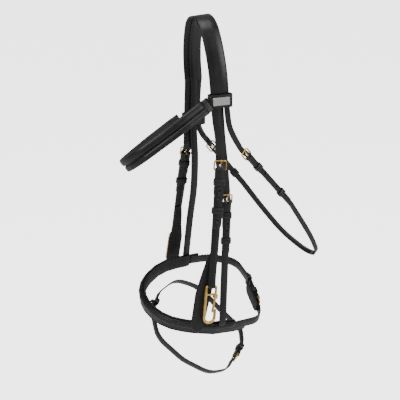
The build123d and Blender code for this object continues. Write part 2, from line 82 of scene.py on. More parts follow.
# %% [markdown]
# ## Directions along a strap
# Each buckled strap has three directions of its own: `s` runs up along the strap to the
# buckle's outer bar, `t` runs across its width and `n` points out of its face, away from
# the horse. The heel bar, which the strap is folded round, is the zero point. With these,
# one buckle described once fits all seven places.

# %% Strap directions
class Leg:
    """One buckled strap: where its heel bar is, and its own three directions."""

    def __init__(self, outer_bar, along, outward):
        self.s = Vector(along).normalized()
        face = Vector(outward)
        self.n = (face - self.s * face.dot(self.s)).normalized()
        self.t = self.n.cross(self.s)
        self.heel = Vector(outer_bar) - self.s * REACH

    def at(self, s, n=0.0, t=0.0):
        return self.heel + self.s * s + self.n * n + self.t * t


class Ring:
    """A tilted plane that a ring-shaped band lies in."""

    def __init__(self, origin, across, up):
        self.up = Vector(up).normalized()
        across = Vector(across)
        self.x = (across - self.up * across.dot(self.up)).normalized()
        self.y = self.up.cross(self.x)
        self.origin = Vector(origin)

    def at(self, x, y, z=0.0):
        return self.origin + self.x * x + self.y * y + self.up * z

    def flat(self, point):
        gap = point - self.origin
        return (gap.dot(self.x), gap.dot(self.y))


NOSE = Ring((-10, 5, -497), (0.9455, 0, -0.3256), (0.3256, 0, 0.9455))
FLASH = Ring((0, -15.5, -550), (0.258, 0.784, -0.565), (0.634, 0.304, 0.711))
BROW = Ring((0, -9, -151.5), (0.898, 0.03, 0.44), (-0.35, -0.494, 0.796))
CROWN = Ring((0, 0, 0), (1, 0, 0), (0, -0.9969, -0.0785))
LEGS = {
    "near_cheek": Leg((60.5, 9.8, -223), (-0.115, 0.119, 0.986), (1, 0, 0)),
    "far_cheek": Leg((-60, -2.6, -231), (0.29, 0.02, 0.957), (-1, 0, 0)),
    "near_noseband": Leg((57, 23.5, -285), (-0.083, 0.065, 0.994), (1, 0, 0)),
    "near_throatlatch": Leg((51, 56, -215), (0.13, -0.66, 0.74), (0.95, 0.30, 0.10)),
    "far_throatlatch": Leg((-45, 34, -224), (-0.098, -0.614, 0.782), (-1, 0, 0.1)),
    "jaw": Leg(NOSE.at(50.9, 91.5), NOSE.x - NOSE.y * 0.1, NOSE.y),
    "flash": Leg(FLASH.at(93.7, -22.8), -FLASH.y - FLASH.x * 0.15, FLASH.x),
}
WIDTHS = {
    "near_cheek": 16.0, "far_cheek": 16.0, "near_noseband": 13.0, "near_throatlatch": 10.0,
    "far_throatlatch": 10.0, "jaw": 18.0, "flash": 13.0,
}
TIPS = {
    "near_cheek": -100, "far_cheek": -88, "near_noseband": -90, "near_throatlatch": -132,
    "far_throatlatch": -80, "jaw": -72, "flash": -32,
}
FIXED_KEEPERS = {
    "near_cheek": -20, "far_cheek": -20, "near_noseband": -20, "near_throatlatch": -28,
    "far_throatlatch": -20, "jaw": -20, "flash": -20,
}
SLIDING_KEEPERS = {
    "near_cheek": -68, "far_cheek": -58, "near_noseband": -64, "near_throatlatch": -102,
    "far_throatlatch": -60, "jaw": -54,
}
print(len(LEGS), "buckled straps")

# %% [markdown]
# ## Routes
# A strap's route is a chain of short steps. Where it bends round a bar, the corner is
# rounded with a true arc; where it hangs or twists, the route is a smooth curve through
# a few stations. Each step carries the direction of the strap's width, the width itself
# and how thick the leather is there, so that one strap can taper and twist as it goes.

# %% Route helpers
ARC_STEP = radians(15)
LONGEST_STEP = 5.0
NEARLY_STRAIGHT = radians(89)


def rounded(points, radii):
    """Corner points in a plane, with each inner corner turned into an arc."""
    made = [Vector(points[0])]
    for before, corner, after, radius in zip(points, points[1:], points[2:], radii):
        corner = Vector(corner)
        back = (Vector(before) - corner).normalized()
        ahead = (Vector(after) - corner).normalized()
        half = back.angle(ahead) / 2
        if half > NEARLY_STRAIGHT:
            made.append(corner)
            continue
        reach = radius / tan(half)
        middle = corner + (back + ahead).normalized() * (radius / sin(half))
        start = corner + back * reach - middle
        turn = pi - 2 * half
        if back.y * ahead.x - back.x * ahead.y < 0:
            turn = -turn
        steps = max(2, int(abs(turn) / ARC_STEP) + 1)
        for i in range(steps + 1):
            angle = turn * i / steps
            spun = Vector((
                start.x * cos(angle) - start.y * sin(angle),
                start.x * sin(angle) + start.y * cos(angle),
            ))
            made.append(middle + spun)
    made.append(Vector(points[-1]))
    return made


def smooth(points, parts=8):
    """A curve through stations (Catmull-Rom), for vectors of any kind."""
    points = [Vector(p) for p in points]
    first, last = points[0] * 2 - points[1], points[-1] * 2 - points[-2]
    padded = [first, *points, last]
    made = []
    for a, b, c, d in zip(padded, padded[1:], padded[2:], padded[3:]):
        for i in range(parts):
            u = i / parts
            made.append(
                0.5 * (2 * b + (c - a) * u + (2 * a - 5 * b + 4 * c - d) * u * u
                       + (3 * b - a - 3 * c + d) * u ** 3)
            )
    return made + [points[-1]]


def stretch(stations, width, thick=LAYER):
    """Route steps from (point, across) pairs, with long steps divided."""
    made = []
    for (p, a), (q, b) in zip(stations, stations[1:]):
        parts = max(1, int((q - p).length / LONGEST_STEP + 0.5))
        for i in range(parts):
            u = i / parts
            made.append([p.lerp(q, u), a.lerp(b, u), width, thick])
    p, a = stations[-1]
    return made + [[p, a, width, thick]]


def on_leg(leg, points, radii):
    """(point, across) pairs of a route drawn on a strap's edge, in s and n."""
    return [(leg.at(p.x, p.y), leg.t) for p in rounded(points, radii)]


def in_ring(ring, points, radii, lift=0.0):
    """(point, across) pairs of a band that lies in a ring's plane."""
    return [(ring.at(p.x, p.y, lift), ring.up) for p in rounded(points, radii)]


def hanging(stations, parts=8):
    """(point, across) pairs of a strap that twists through a few stations."""
    points = smooth([s[0] for s in stations], parts)
    across = smooth([Vector(s[1]).normalized() for s in stations], parts)
    return list(zip(points, across))


print("an arc turns", round(ARC_STEP * 180 / pi), "degrees in each step")

# %% [markdown]
# ## The section of a strap
# Cut a good strap across and its edges are round, because the maker bevels and rubs them,
# and a hot iron has pressed a fine crease just inside each edge. The section is a closed
# ring of points, and the mesh joins one ring to the next. A plain box would have neither
# the round edge that catches the light nor the crease, so the section has both.

# %% Sections
EDGE_STEPS = (0.0, 30.0, 60.0, 90.0)
CREASE_IN = 1.7


def strap_section(width, thick, creased=True):
    """Rounded edges and a creased line inside each, as (across, out) points."""
    half = width / 2
    radius, inset = min(thick * 0.42, half * 0.5), min(CREASE_IN, half * 0.55)
    groove, line = (0.24, min(0.3, half * 0.1)) if creased else (0.0, min(0.3, half * 0.1))
    quarter = [
        (half - radius + radius * cos(radians(a)), thick / 2 - radius + radius * sin(radians(a)))
        for a in EDGE_STEPS
    ]
    quarter += [
        (half - inset + line, thick / 2), (half - inset, thick / 2 - groove),
        (half - inset - line, thick / 2), (half * 0.2, thick / 2 + 0.04),
    ]
    top = quarter + [(0, thick / 2 + 0.05)] + [(-x, y) for x, y in reversed(quarter)]
    bottom = [(x, -y) for x, y in reversed(top)]
    return top + bottom[1:-1]


def roll_section(low, high, base, rise):
    """A stuffed roll: flat where it is sewn down, round on the outside."""
    middle, half = (low + high) / 2, (high - low) / 2
    made = []
    for i in range(13):
        angle = pi * i / 12
        swell = sin(angle) ** 0.62
        made.append((middle + half * cos(angle), base + rise * swell))
    made += [(middle - half * 0.6, base - 0.2), (middle + half * 0.6, base - 0.2)]
    return made


def pad_section(low, high, inner, outer):
    """A soft lining: bulging towards the horse and tucked in at its edges."""
    middle, half = (low + high) / 2, (high - low) / 2
    deep = outer - inner
    made = []
    for i in range(17):
        angle = pi + pi * i / 16
        bulge = abs(sin(angle)) ** 0.45
        made.append((middle + half * cos(angle), outer - 0.3 - (deep - 0.3) * bulge))
    made += [(middle + half * 0.86, outer), (middle - half * 0.86, outer)]
    return made


print(len(strap_section(16, LAYER)), "points in a creased section")

# %% [markdown]
# ## Making the mesh of a strap
# `sweep` lays one ring of section points at each step of the route and joins neighbours
# with faces. At each step, the strap's outer side is found by crossing its width with its
# direction, so a strap may twist freely. A closed route, such as a keeper's, has no ends.

# %% Sweep a section along a route
def turn_faces_out(mesh):
    work = bmesh.new()
    work.from_mesh(mesh)
    bmesh.ops.recalc_face_normals(work, faces=work.faces)
    work.to_mesh(mesh)
    work.free()


def new_piece(name, verts, faces, materials, edge_faces=()):
    """A smooth-shaded mesh object from points in millimetres."""
    mesh = bpy.data.meshes.new(name)
    mesh.from_pydata([v * MM for v in verts], [], faces)
    for index in edge_faces:
        mesh.polygons[index].material_index = 1
    mesh.polygons.foreach_set("use_smooth", [True] * len(mesh.polygons))
    turn_faces_out(mesh)
    for material in materials:
        mesh.materials.append(material)
    piece = bpy.data.objects.new(name, mesh)
    bpy.context.scene.collection.objects.link(piece)
    return piece


def directions(route, closed):
    """Each step's direction along the route, and its outer side."""
    made = []
    count = len(route)
    for i, (point, across, *_) in enumerate(route):
        if closed:
            before, after = route[i - 1][0], route[(i + 1) % count][0]
        else:
            before, after = route[max(i - 1, 0)][0], route[min(i + 1, count - 1)][0]
        ahead = (after - before).normalized()
        side = (across - ahead * across.dot(ahead)).normalized()
        made.append((ahead, side, side.cross(ahead)))
    return made


def is_edge(section, i):
    """True where the section's outline runs over the strap's edge."""
    widest = max(x for x, y in section)
    x, y = section[i]
    u, v = section[(i + 1) % len(section)]
    return min(abs(x), abs(u)) > widest - 0.95


def sweep(name, route, section_at, materials, closed=False, burnished=True):
    """One skin along a route; section_at(width, thick) gives the ring of points."""
    verts, faces, edges = [], [], []
    for (point, across, width, thick), (ahead, side, out) in zip(route, directions(route, closed)):
        ring = section_at(width, thick)
        verts += [point + side * x + out * y for x, y in ring]
    size = len(ring)
    spans = len(route) if closed else len(route) - 1
    widest = section_at(*route[len(route) // 2][2:])
    for i in range(spans):
        a, b = i * size, ((i + 1) % len(route)) * size
        for j in range(size):
            if burnished and is_edge(widest, j):
                edges.append(len(faces))
            k = (j + 1) % size
            faces.append((a + j, a + k, b + k, b + j))
    if not closed:
        for start in (0, (len(route) - 1) * size):
            edges.append(len(faces))
            faces.append(tuple(range(start, start + size)))
    return new_piece(name, verts, faces, materials, edges if len(materials) > 1 else ())


print("sweep joins rings of points into a skin")

# %% [markdown]
# ## Shaping a strap's ends
# A billet, the end that goes through the buckle, is cut to a point so that it threads
# easily. A folded end is pared thin, or skived, so that it lies flat where it is sewn.
# Both are changes of width or thickness near the end of the route.

# %% Pointed and skived ends
TIP_STEPS = (0.0, 0.03, 0.09, 0.18, 0.3, 0.45, 0.62, 0.8, 1.0)
POINT_LENGTH = 0.62


def trim_to(route, distance):
    """The route without its last stretch, and the stretch's direction and end."""
    kept, end = list(route), route[-1]
    along = (route[-1][0] - route[-2][0]).normalized()
    while (end[0] - kept[-1][0]).length < distance + 0.2:
        kept.pop()
    return kept, end, along


def point_tip(route):
    """Cuts the last stretch of a billet to a rounded point."""
    length = route[-1][2] * POINT_LENGTH
    kept, (point, across, width, thick), along = trim_to(route, length)
    for u in reversed(TIP_STEPS):
        narrow = max(0.12, sqrt(1 - (1 - u) ** 2.1)) if u < 1 else 1.0
        kept.append([point - along * (length * u), across, width * narrow, thick])
    return kept


def skive_tip(route, length=6.0, thin=0.4, narrow=0.05):
    """Pares the last stretch of a sewn end thin, and draws it in a little."""
    kept, (point, across, width, thick), along = trim_to(route, length)
    for u in (1.0, 0.5, 0.15, 0.0):
        pared, drawn_in = thin + (1 - thin) * u, 1 - narrow * (1 - u)
        kept.append([point - along * (length * u), across, width * drawn_in, thick * pared])
    return kept


def skive_start(route):
    """Pares the first stretch of a route thin."""
    return list(reversed(skive_tip(list(reversed(route)))))


def both_ends(route, shape_start, shape_end):
    route = shape_start(list(reversed(route)))
    return shape_end(list(reversed(route)))


print(len(TIP_STEPS), "cuts round a billet's point")

# %% [markdown]
# ## Effects that several finishes share
# Leather has a pore grain and a slow change of tone, and its outward corners carry a
# painted highlight, a lighter colour where edges catch the light. Metal carries finger
# marks. Each effect is a node group with named inputs, built once and placed in each
# finish with its own values. A group gives only colours, masks and heights; the surface
# shader stays in the material.

# %% Node group helpers
def new_group(name, inputs, outputs):
    """An empty node group with named sockets; returns its tree and end nodes."""
    tree = bpy.data.node_groups.new(name, "ShaderNodeTree")
    for label, kind, value in inputs:
        socket = tree.interface.new_socket(name=label, in_out="INPUT", socket_type=kind)
        socket.default_value = value
    for label, kind in outputs:
        tree.interface.new_socket(name=label, in_out="OUTPUT", socket_type=kind)
    return tree, tree.nodes.new("NodeGroupInput"), tree.nodes.new("NodeGroupOutput")


def add_node(tree, kind, links=(), **values):
    """A node with its values set and its inputs linked."""
    node = tree.nodes.new(kind)
    for key, value in values.items():
        if hasattr(node, key):
            setattr(node, key, value)
    for name, value in values.items():
        label = name.replace("_", " ").title()
        if not hasattr(node, name) and label in node.inputs:
            node.inputs[label].default_value = value
    for index, source in links:
        tree.links.new(source, node.inputs[index])
    return node


def math_node(tree, operation, a, b=0.5, clamp=False):
    node = tree.nodes.new("ShaderNodeMath")
    node.operation, node.use_clamp = operation, clamp
    for i, value in enumerate((a, b)):
        if isinstance(value, (int, float)):
            node.inputs[i].default_value = value
        else:
            tree.links.new(value, node.inputs[i])
    return node.outputs[0]


def object_coordinates(tree):
    return tree.nodes.new("ShaderNodeTexCoord").outputs["Object"]


print("node group helpers are ready")

# %% The grain of leather
def make_grain():
    """Pores and fine wrinkles as a height, and a slow drift of tone."""
    tree, inside, outside = new_group(
        "leather_grain",
        [("Pore Scale", "NodeSocketFloat", 1400.0), ("Wrinkle Scale", "NodeSocketFloat", 260.0),
         ("Wrinkles", "NodeSocketFloat", 0.3)],
        [("Height", "NodeSocketFloat"), ("Tone", "NodeSocketFloat")],
    )
    place = object_coordinates(tree)
    pores = add_node(tree, "ShaderNodeTexVoronoi", [(0, place)])
    tree.links.new(inside.outputs["Pore Scale"], pores.inputs["Scale"])
    wrinkles = add_node(tree, "ShaderNodeTexNoise", [(0, place)], detail=5.0, roughness=0.62)
    tree.links.new(inside.outputs["Wrinkle Scale"], wrinkles.inputs["Scale"])
    drift = add_node(tree, "ShaderNodeTexNoise", [(0, place)], scale=24.0, detail=3.0)
    pore_height = math_node(tree, "MULTIPLY", pores.outputs["Distance"], 0.5)
    folds = math_node(tree, "MULTIPLY", wrinkles.outputs["Fac"], inside.outputs["Wrinkles"])
    tree.links.new(math_node(tree, "ADD", pore_height, folds), outside.inputs["Height"])
    tree.links.new(drift.outputs["Fac"], outside.inputs["Tone"])
    return tree


GRAIN = make_grain()
print("made", GRAIN.name)

# %% Painted highlight on outward corners
def make_corner_highlight():
    """A painted highlight mask: bright on outward corners, where edges catch light, broken up by
    noise.
    """
    tree, inside, outside = new_group(
        "painted_corner_highlight",
        [("Reach", "NodeSocketFloat", 0.54), ("Breakup", "NodeSocketFloat", 90.0)],
        [("Mask", "NodeSocketFloat")],
    )
    bend = tree.nodes.new("ShaderNodeNewGeometry").outputs["Pointiness"]
    noise = add_node(tree, "ShaderNodeTexNoise", [(0, object_coordinates(tree))], detail=4.0)
    tree.links.new(inside.outputs["Breakup"], noise.inputs["Scale"])
    corner = math_node(tree, "SUBTRACT", bend, inside.outputs["Reach"])
    strong = math_node(tree, "MULTIPLY", corner, 9.0, clamp=True)
    mask = math_node(tree, "MULTIPLY", strong, noise.outputs["Fac"], clamp=True)
    tree.links.new(mask, outside.inputs["Mask"])
    return tree


CORNER_HIGHLIGHT = make_corner_highlight()
print("made", CORNER_HIGHLIGHT.name)

# %% Finger marks and fine scratches
def make_smudges():
    """Patches that finger grease leaves on polished metal, and fine rubbing lines."""
    tree, inside, outside = new_group(
        "smudges",
        [("Patch Scale", "NodeSocketFloat", 70.0), ("Line Scale", "NodeSocketFloat", 900.0)],
        [("Patches", "NodeSocketFloat"), ("Lines", "NodeSocketFloat")],
    )
    place = object_coordinates(tree)
    patches = add_node(tree, "ShaderNodeTexNoise", [(0, place)], detail=6.0, roughness=0.6)
    tree.links.new(inside.outputs["Patch Scale"], patches.inputs["Scale"])
    stretched = tree.nodes.new("ShaderNodeMapping")
    stretched.inputs["Scale"].default_value = (1.0, 0.12, 0.3)
    tree.links.new(place, stretched.inputs[0])
    lines = add_node(tree, "ShaderNodeTexNoise", [(0, stretched.outputs[0])], detail=3.0)
    tree.links.new(inside.outputs["Line Scale"], lines.inputs["Scale"])
    tree.links.new(patches.outputs["Fac"], outside.inputs["Patches"])
    tree.links.new(lines.outputs["Fac"], outside.inputs["Lines"])
    return tree


SMUDGES = make_smudges()
print("made", SMUDGES.name)

# %% [markdown]
# ## Leather finishes
# Bridle leather is dyed black through, stuffed with wax and polished, so it is a very
# dark brown-black with a broad soft highlight. The same recipe serves the smooth straps,
# the rubbed edges, the softer leather over the rolls and the matt lining: only the tone,
# the roughness and the strength of grain and wrinkles change.

# %% Leather material
def place_group(tree, group, **values):
    node = tree.nodes.new("ShaderNodeGroup")
    node.node_tree = group
    for label, value in values.items():
        node.inputs[label.replace("_", " ").title()].default_value = value
    return node


def mix_colour(tree, mask, first, second):
    node = tree.nodes.new("ShaderNodeMix")
    node.data_type = "RGBA"
    node.inputs["A"].default_value = (*first, 1)
    node.inputs["B"].default_value = (*second, 1)
    tree.links.new(mask, node.inputs["Factor"])
    return node.outputs["Result"]


def spread(tree, value, low, high, from_low=0.3, from_high=0.7):
    node = tree.nodes.new("ShaderNodeMapRange")
    tree.links.new(value, node.inputs["Value"])
    for label, number in zip(("From Min", "From Max", "To Min", "To Max"),
                             (from_low, from_high, low, high)):
        node.inputs[label].default_value = number
    return node.outputs["Result"]


def leather(name, dark, light, rough, grain=0.2, wrinkles=0.3, wrinkle_scale=260.0, wax=0.15):
    """Black leather: tone and roughness drift, grain and wrinkles are raised."""
    material = bpy.data.materials.new(name)
    material.use_nodes = True
    tree = material.node_tree
    shader = tree.nodes["Principled BSDF"]
    pores = place_group(tree, GRAIN, wrinkles=wrinkles, wrinkle_scale=wrinkle_scale)
    highlight_node = place_group(tree, CORNER_HIGHLIGHT)
    tone = mix_colour(tree, spread(tree, pores.outputs["Tone"], 0, 1), dark, light)
    # Painted highlight: outward corners are lightened in the base colour, standing in for edges that
    # catch the light.
    lit_corners = tree.nodes.new("ShaderNodeMix")
    lit_corners.data_type = "RGBA"
    tree.links.new(highlight_node.outputs["Mask"], lit_corners.inputs["Factor"])
    tree.links.new(tone, lit_corners.inputs["A"])
    lit_corners.inputs["B"].default_value = (light[0] * 2.6, light[1] * 2.5, light[2] * 2.4, 1)
    tree.links.new(lit_corners.outputs["Result"], shader.inputs["Base Color"])
    gloss = spread(tree, pores.outputs["Tone"], rough - 0.05, rough + 0.07)
    tree.links.new(gloss, shader.inputs["Roughness"])
    shader.inputs["Coat Weight"].default_value = wax
    shader.inputs["Coat Roughness"].default_value = 0.3
    shader.inputs["Specular IOR Level"].default_value = 0.34
    bump = tree.nodes.new("ShaderNodeBump")
    bump.inputs["Strength"].default_value = grain
    bump.inputs["Distance"].default_value = 0.0006
    tree.links.new(pores.outputs["Height"], bump.inputs["Height"])
    tree.links.new(bump.outputs["Normal"], shader.inputs["Normal"])
    return material


BRIDLE = leather("bridle_leather", (0.0045, 0.0042, 0.0042), (0.010, 0.0092, 0.009), 0.36)
EDGE = leather("burnished_edge", (0.003, 0.0028, 0.0028), (0.006, 0.0056, 0.0055), 0.30, 0.12, 0.5)
ROLLED = leather("rolled_leather", (0.005, 0.0047, 0.0047), (0.011, 0.0103, 0.010), 0.38,
                 0.35, 0.9, 190.0, 0.08)
LINING = leather("lining_leather", (0.008, 0.0075, 0.0073), (0.015, 0.014, 0.0135), 0.6,
                 0.4, 0.7, 230.0, 0.0)
LEATHERS = (BRIDLE, EDGE)
print("leather finishes:", BRIDLE.name, EDGE.name, ROLLED.name, LINING.name)

# %% [markdown]
# ## Thread, brass and nickel
# The thread is black linen drawn through wax: rough, with a twist that shows as fine
# slanting lines. The buckles and hooks are cast brass, polished on a wheel, with duller
# patches where they are handled. The name plate and the gate pins are nickel plated, so
# they are pale and cool beside the brass.

# %% Thread material
def thread_material():
    material = bpy.data.materials.new("waxed_thread")
    material.use_nodes = True
    tree = material.node_tree
    shader = tree.nodes["Principled BSDF"]
    twist = add_node(tree, "ShaderNodeTexWave", [(0, object_coordinates(tree))], scale=900.0)
    tone = mix_colour(tree, twist.outputs["Fac"], (0.010, 0.010, 0.010), (0.034, 0.033, 0.032))
    tree.links.new(tone, shader.inputs["Base Color"])
    gloss = spread(tree, twist.outputs["Fac"], 0.5, 0.68, 0, 1)
    tree.links.new(gloss, shader.inputs["Roughness"])
    bump = tree.nodes.new("ShaderNodeBump")
    bump.inputs["Strength"].default_value = 0.4
    bump.inputs["Distance"].default_value = 0.0002
    tree.links.new(twist.outputs["Fac"], bump.inputs["Height"])
    tree.links.new(bump.outputs["Normal"], shader.inputs["Normal"])
    return material


THREAD = thread_material()
print("made", THREAD.name)

# %% Metal materials
def metal(name, bright, dull, rough, lines=0.06):
    """Polished metal: duller patches where it is handled, fine lines from polishing."""
    material = bpy.data.materials.new(name)
    material.use_nodes = True
    tree = material.node_tree
    shader = tree.nodes["Principled BSDF"]
    shader.inputs["Metallic"].default_value = 1.0
    marks = place_group(tree, SMUDGES)
    tone = mix_colour(tree, spread(tree, marks.outputs["Patches"], 0, 1, 0.42, 0.78), bright, dull)
    tree.links.new(tone, shader.inputs["Base Color"])
    gloss = spread(tree, marks.outputs["Patches"], rough, rough + 0.12, 0.35, 0.75)
    tree.links.new(gloss, shader.inputs["Roughness"])
    bump = tree.nodes.new("ShaderNodeBump")
    bump.inputs["Strength"].default_value = lines
    bump.inputs["Distance"].default_value = 0.0002
    tree.links.new(marks.outputs["Lines"], bump.inputs["Height"])
    tree.links.new(bump.outputs["Normal"], shader.inputs["Normal"])
    return material


BRASS = metal("polished_brass", (0.80, 0.53, 0.15), (0.52, 0.31, 0.07), 0.17)
NICKEL = metal("nickel_plate", (0.80, 0.78, 0.74), (0.60, 0.58, 0.54), 0.2, 0.1)
print("metal finishes:", BRASS.name, NICKEL.name)

# %% [markdown]
# ## Through a buckle and round a bar
# Two short routes come again and again. A billet dives under the buckle's outer bar and
# climbs over the folded end to lie on top of it. A folded end comes up the back as a
# short return leaf, turns round the heel bar and runs down the front. The leather is
# pared where it turns, so that it hugs the bar.

# %% Buckle routes
HEEL_R = FOLD + SKIN + LEATHER / 2
BAR_R = WIRE + SKIN + LEATHER / 2
CROSS = REACH * HEEL_R / (HEEL_R + BAR_R)
SLOPE = asin((HEEL_R + BAR_R) / REACH)
HEEL_CORNER = (CROSS - HEEL_R / tan(SLOPE), HEEL_R)
BAR_CORNER = (CROSS + BAR_R / tan(SLOPE), -BAR_R)
RUN_IN = 22.0
PARED = 1.75
LEAF = LEATHER / 2 + 0.03
ROUND_BAR = 2.35


def billet_points(tip):
    """The billet's edge route, from above the buckle down to its tip."""
    points = [(RUN_IN, -BAR_R), BAR_CORNER, HEEL_CORNER, (-SETTLE, BILLET_OUT), (tip, BILLET_OUT)]
    return points, [BAR_R, HEEL_R, 12]


def fold_points(return_leaf, length):
    """The folded end's edge route, up the back, round the bar and down the front."""
    points = [
        (-return_leaf, -LEAF), (-SETTLE, -LEAF), (2.5, -ROUND_BAR), (2.5, ROUND_BAR),
        (-SETTLE, LEAF), (-length, LEAF),
    ]
    return points, [12, 2.2, 2.2, 12]


def pare_round(route, bar, reach=9.0, pared=PARED):
    """Thins the leather within reach of a bar."""
    for step in route:
        gap = (step[0] - bar).length
        if gap < reach:
            step[3] = min(step[3], pared + (LAYER - pared) * max(0.0, gap - 3.0) / (reach - 3.0))
    return route


def ride_for(piece, node, body="bridle"):
    """The piece stands for a solid of the model and moves with its body."""
    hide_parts(node)
    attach(piece, body)
    return piece


print("the billet crosses", round(CROSS, 1), "mm above the heel bar")

# %% [markdown]
# ## Punched holes
# Holes are punched in a line down the billet. They are cut as real holes with a boolean,
# because a painted dot would have no rim and no depth. The hole that is in use is a slot,
# since the buckle's tongue passes through it at a slant.

# %% Punch
HOLE_R = 1.6
HOLE_AT = 5.2
SPARE_HOLES = (-34, -46, -84)
CUT_DEPTH = 6.0


def prism(work, leg, s, n, half_long, half_wide):
    """A slot-shaped cutter, standing out of the strap's face."""
    rings = []
    for lift in (-CUT_DEPTH, CUT_DEPTH):
        ring = []
        for i in range(20):
            angle = 2 * pi * i / 20
            shift = (half_long - half_wide) * (1 if cos(angle) > 0 else -1)
            point = leg.at(s + shift + half_wide * cos(angle), n + lift, half_wide * sin(angle))
            ring.append(work.verts.new(point * MM))
        rings.append(ring)
    work.faces.new(rings[0])
    work.faces.new(list(reversed(rings[1])))
    for i in range(20):
        k = (i + 1) % 20
        work.faces.new((rings[0][k], rings[0][i], rings[1][i], rings[1][k]))


def punch(piece, leg, cuts):
    """Cuts (s, n, half length, half width) slots through a piece."""
    work = bmesh.new()
    for cut in cuts:
        prism(work, leg, *cut)
    bmesh.ops.recalc_face_normals(work, faces=work.faces)
    mesh = bpy.data.meshes.new("punches")
    work.to_mesh(mesh)
    work.free()
    tool = bpy.data.objects.new("punches", mesh)
    bpy.context.scene.collection.objects.link(tool)
    cutting = piece.modifiers.new("punch", "BOOLEAN")
    cutting.operation, cutting.solver, cutting.object = "DIFFERENCE", "EXACT", tool
    cutting.use_self = True
    bpy.context.view_layer.update()
    seen = piece.evaluated_get(bpy.context.evaluated_depsgraph_get())
    cut_mesh = bpy.data.meshes.new_from_object(seen)
    piece.modifiers.clear()
    piece.data = cut_mesh
    bpy.data.objects.remove(tool)
    bpy.data.meshes.remove(mesh)


def punch_billet(piece, leg, tip):
    cuts = [(HOLE_AT, 1.0, 4.8, 1.8)]
    cuts += [(at, BILLET_OUT, HOLE_R, HOLE_R) for at in SPARE_HOLES if at > tip + 8]
    punch(piece, leg, cuts)


def slot_fold(piece, leg):
    """The slot in the folded end that the buckle's tongue comes through."""
    punch(piece, leg, [(0.5, 0, 6.0, 1.8)])


print(len(SPARE_HOLES), "spare holes at most")

# %% [markdown]
# ## Stitching
# Where two layers are sewn, small even stitches sit in a pricked line just inside the
# edge. Each stitch is its own little lens of thread, sunk a little into the leather. They
# are gathered in one mesh for each strap, which keeps the scene light.

# %% Stitches
STITCH_PITCH = 3.4
STITCH = (1.25, 0.42)
BOTH_FACES = (-2.42, 2.4)


def along_route(route, start, end, pitch):
    """Point, direction, side and outer side at even distances along a route."""
    frames = directions(route, False)
    walked, target, made = 0.0, start, []
    for i in range(len(route) - 1):
        step = (route[i + 1][0] - route[i][0]).length
        while step and walked + step >= target and target <= end:
            u = (target - walked) / step
            made.append((route[i][0].lerp(route[i + 1][0], u), *frames[i]))
            target += pitch
        walked += step
    return made


def length_of(route):
    return sum((b[0] - a[0]).length for a, b in zip(route, route[1:]))


def stitches(name, rows, body="bridle"):
    """Rows of stitches: (route, across, out, start, end) in millimetres."""
    verts, faces = [], []
    half, radius = STITCH
    for route, across, out, start, end in rows:
        if end <= 0:
            end += length_of(route)
        for point, ahead, side, face in along_route(route, start, end, STITCH_PITCH):
            middle = point + side * across + face * out
            first = len(verts)
            verts.append(middle - ahead * half)
            for lengthwise in (-0.55, 0.55):
                for i in range(6):
                    angle = pi * i / 3
                    round_it = side * cos(angle) + face * sin(angle) * 0.8
                    verts.append(middle + ahead * half * lengthwise + round_it * radius)
            verts.append(middle + ahead * half)
            for i in range(6):
                k = (i + 1) % 6
                faces.append((first, first + 1 + k, first + 1 + i))
                faces.append((first + 1 + i, first + 1 + k, first + 7 + k, first + 7 + i))
                faces.append((first + 13, first + 7 + i, first + 7 + k))
    piece = new_piece(name, verts, faces, [THREAD])
    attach(piece, body)
    return piece


print("stitches every", STITCH_PITCH, "mm")

# %% [markdown]
# ## Buckles and tongues
# Each buckle is a rounded brass frame of round wire. The strap is folded round its lower
# side, the heel bar, and its upper side, the outer bar, takes the tongue. The tongue is
# rolled round the heel bar and drawn out to a rounded point. Both are routes swept with a
# round section, so that they show clean highlights.

# %% Buckles
def round_section(width, thick, count=14):
    return [
        (width / 2 * cos(2 * pi * i / count), thick / 2 * sin(2 * pi * i / count))
        for i in range(count)
    ]


def closed_corners(corners, radius):
    """A rounded closed outline, started in the middle of its first side."""
    start = (Vector(corners[0]) + Vector(corners[-1])) / 2
    points = rounded([start, *corners, start], [radius] * len(corners))
    return points[:-1]


def buckle(prefix):
    leg, half = LEGS[prefix], WIDTHS[prefix] / 2 + 1.4 + WIRE
    corners = [(0, half), (REACH, half), (REACH, -half), (0, -half)]
    route = [
        [leg.at(p.x, 0, p.y), leg.n, 2 * WIRE, 2 * WIRE] for p in closed_corners(corners, 2.6)
    ]
    piece = sweep(f"{prefix}_buckle_frame", route, round_section, [BRASS], True, False)
    return ride_for(piece, f"{prefix}_buckle")


def tongue(prefix):
    leg = LEGS[prefix]
    rest = WIRE + 0.15 + 1.0
    eye = WIRE + 0.66
    points = [(eye * cos(radians(a)), eye * sin(radians(a))) for a in range(-220, 60, 20)]
    points += [(3.6, 2.1), (REACH * 0.55, 2.3), (REACH - 2, rest), (REACH + 2.2, rest - 0.1)]
    path = smooth([Vector(p) for p in points], 4)
    last = len(path) - 1
    route = []
    for i, p in enumerate(path):
        grown = min(1.0, max(0.0, (i - 0.62 * last) / (0.2 * last)))
        size = 1.15 + 0.75 * grown
        if i > last - 3:
            size *= (0.9, 0.7, 0.35)[i - last + 2]
        route.append([leg.at(p.x, p.y), leg.t, size * 1.1, size])
    piece = sweep(f"{prefix}_buckle_tongue", route, round_section, [BRASS], False, False)
    return ride_for(piece, f"{prefix}_tongue", f"{prefix}_tongue")


for prefix in LEGS:
    buckle(prefix)
    tongue(prefix)
print(len(LEGS), "buckles and tongues")

# %% [markdown]
# ## Keepers
# A keeper is a narrow loop of leather that holds the billet's end flat. The fixed one is
# sewn in just under the buckle; the sliding one, the runner, is a little looser and moves
# on the strap. Each is a closed route round the strap, swept with the strap's own
# rounded section.

# %% Keepers
KEEPER_LENGTH = 10.8
KEEPER_WALL = 1.5
STACK_TOP = BILLET_OUT + LEATHER / 2


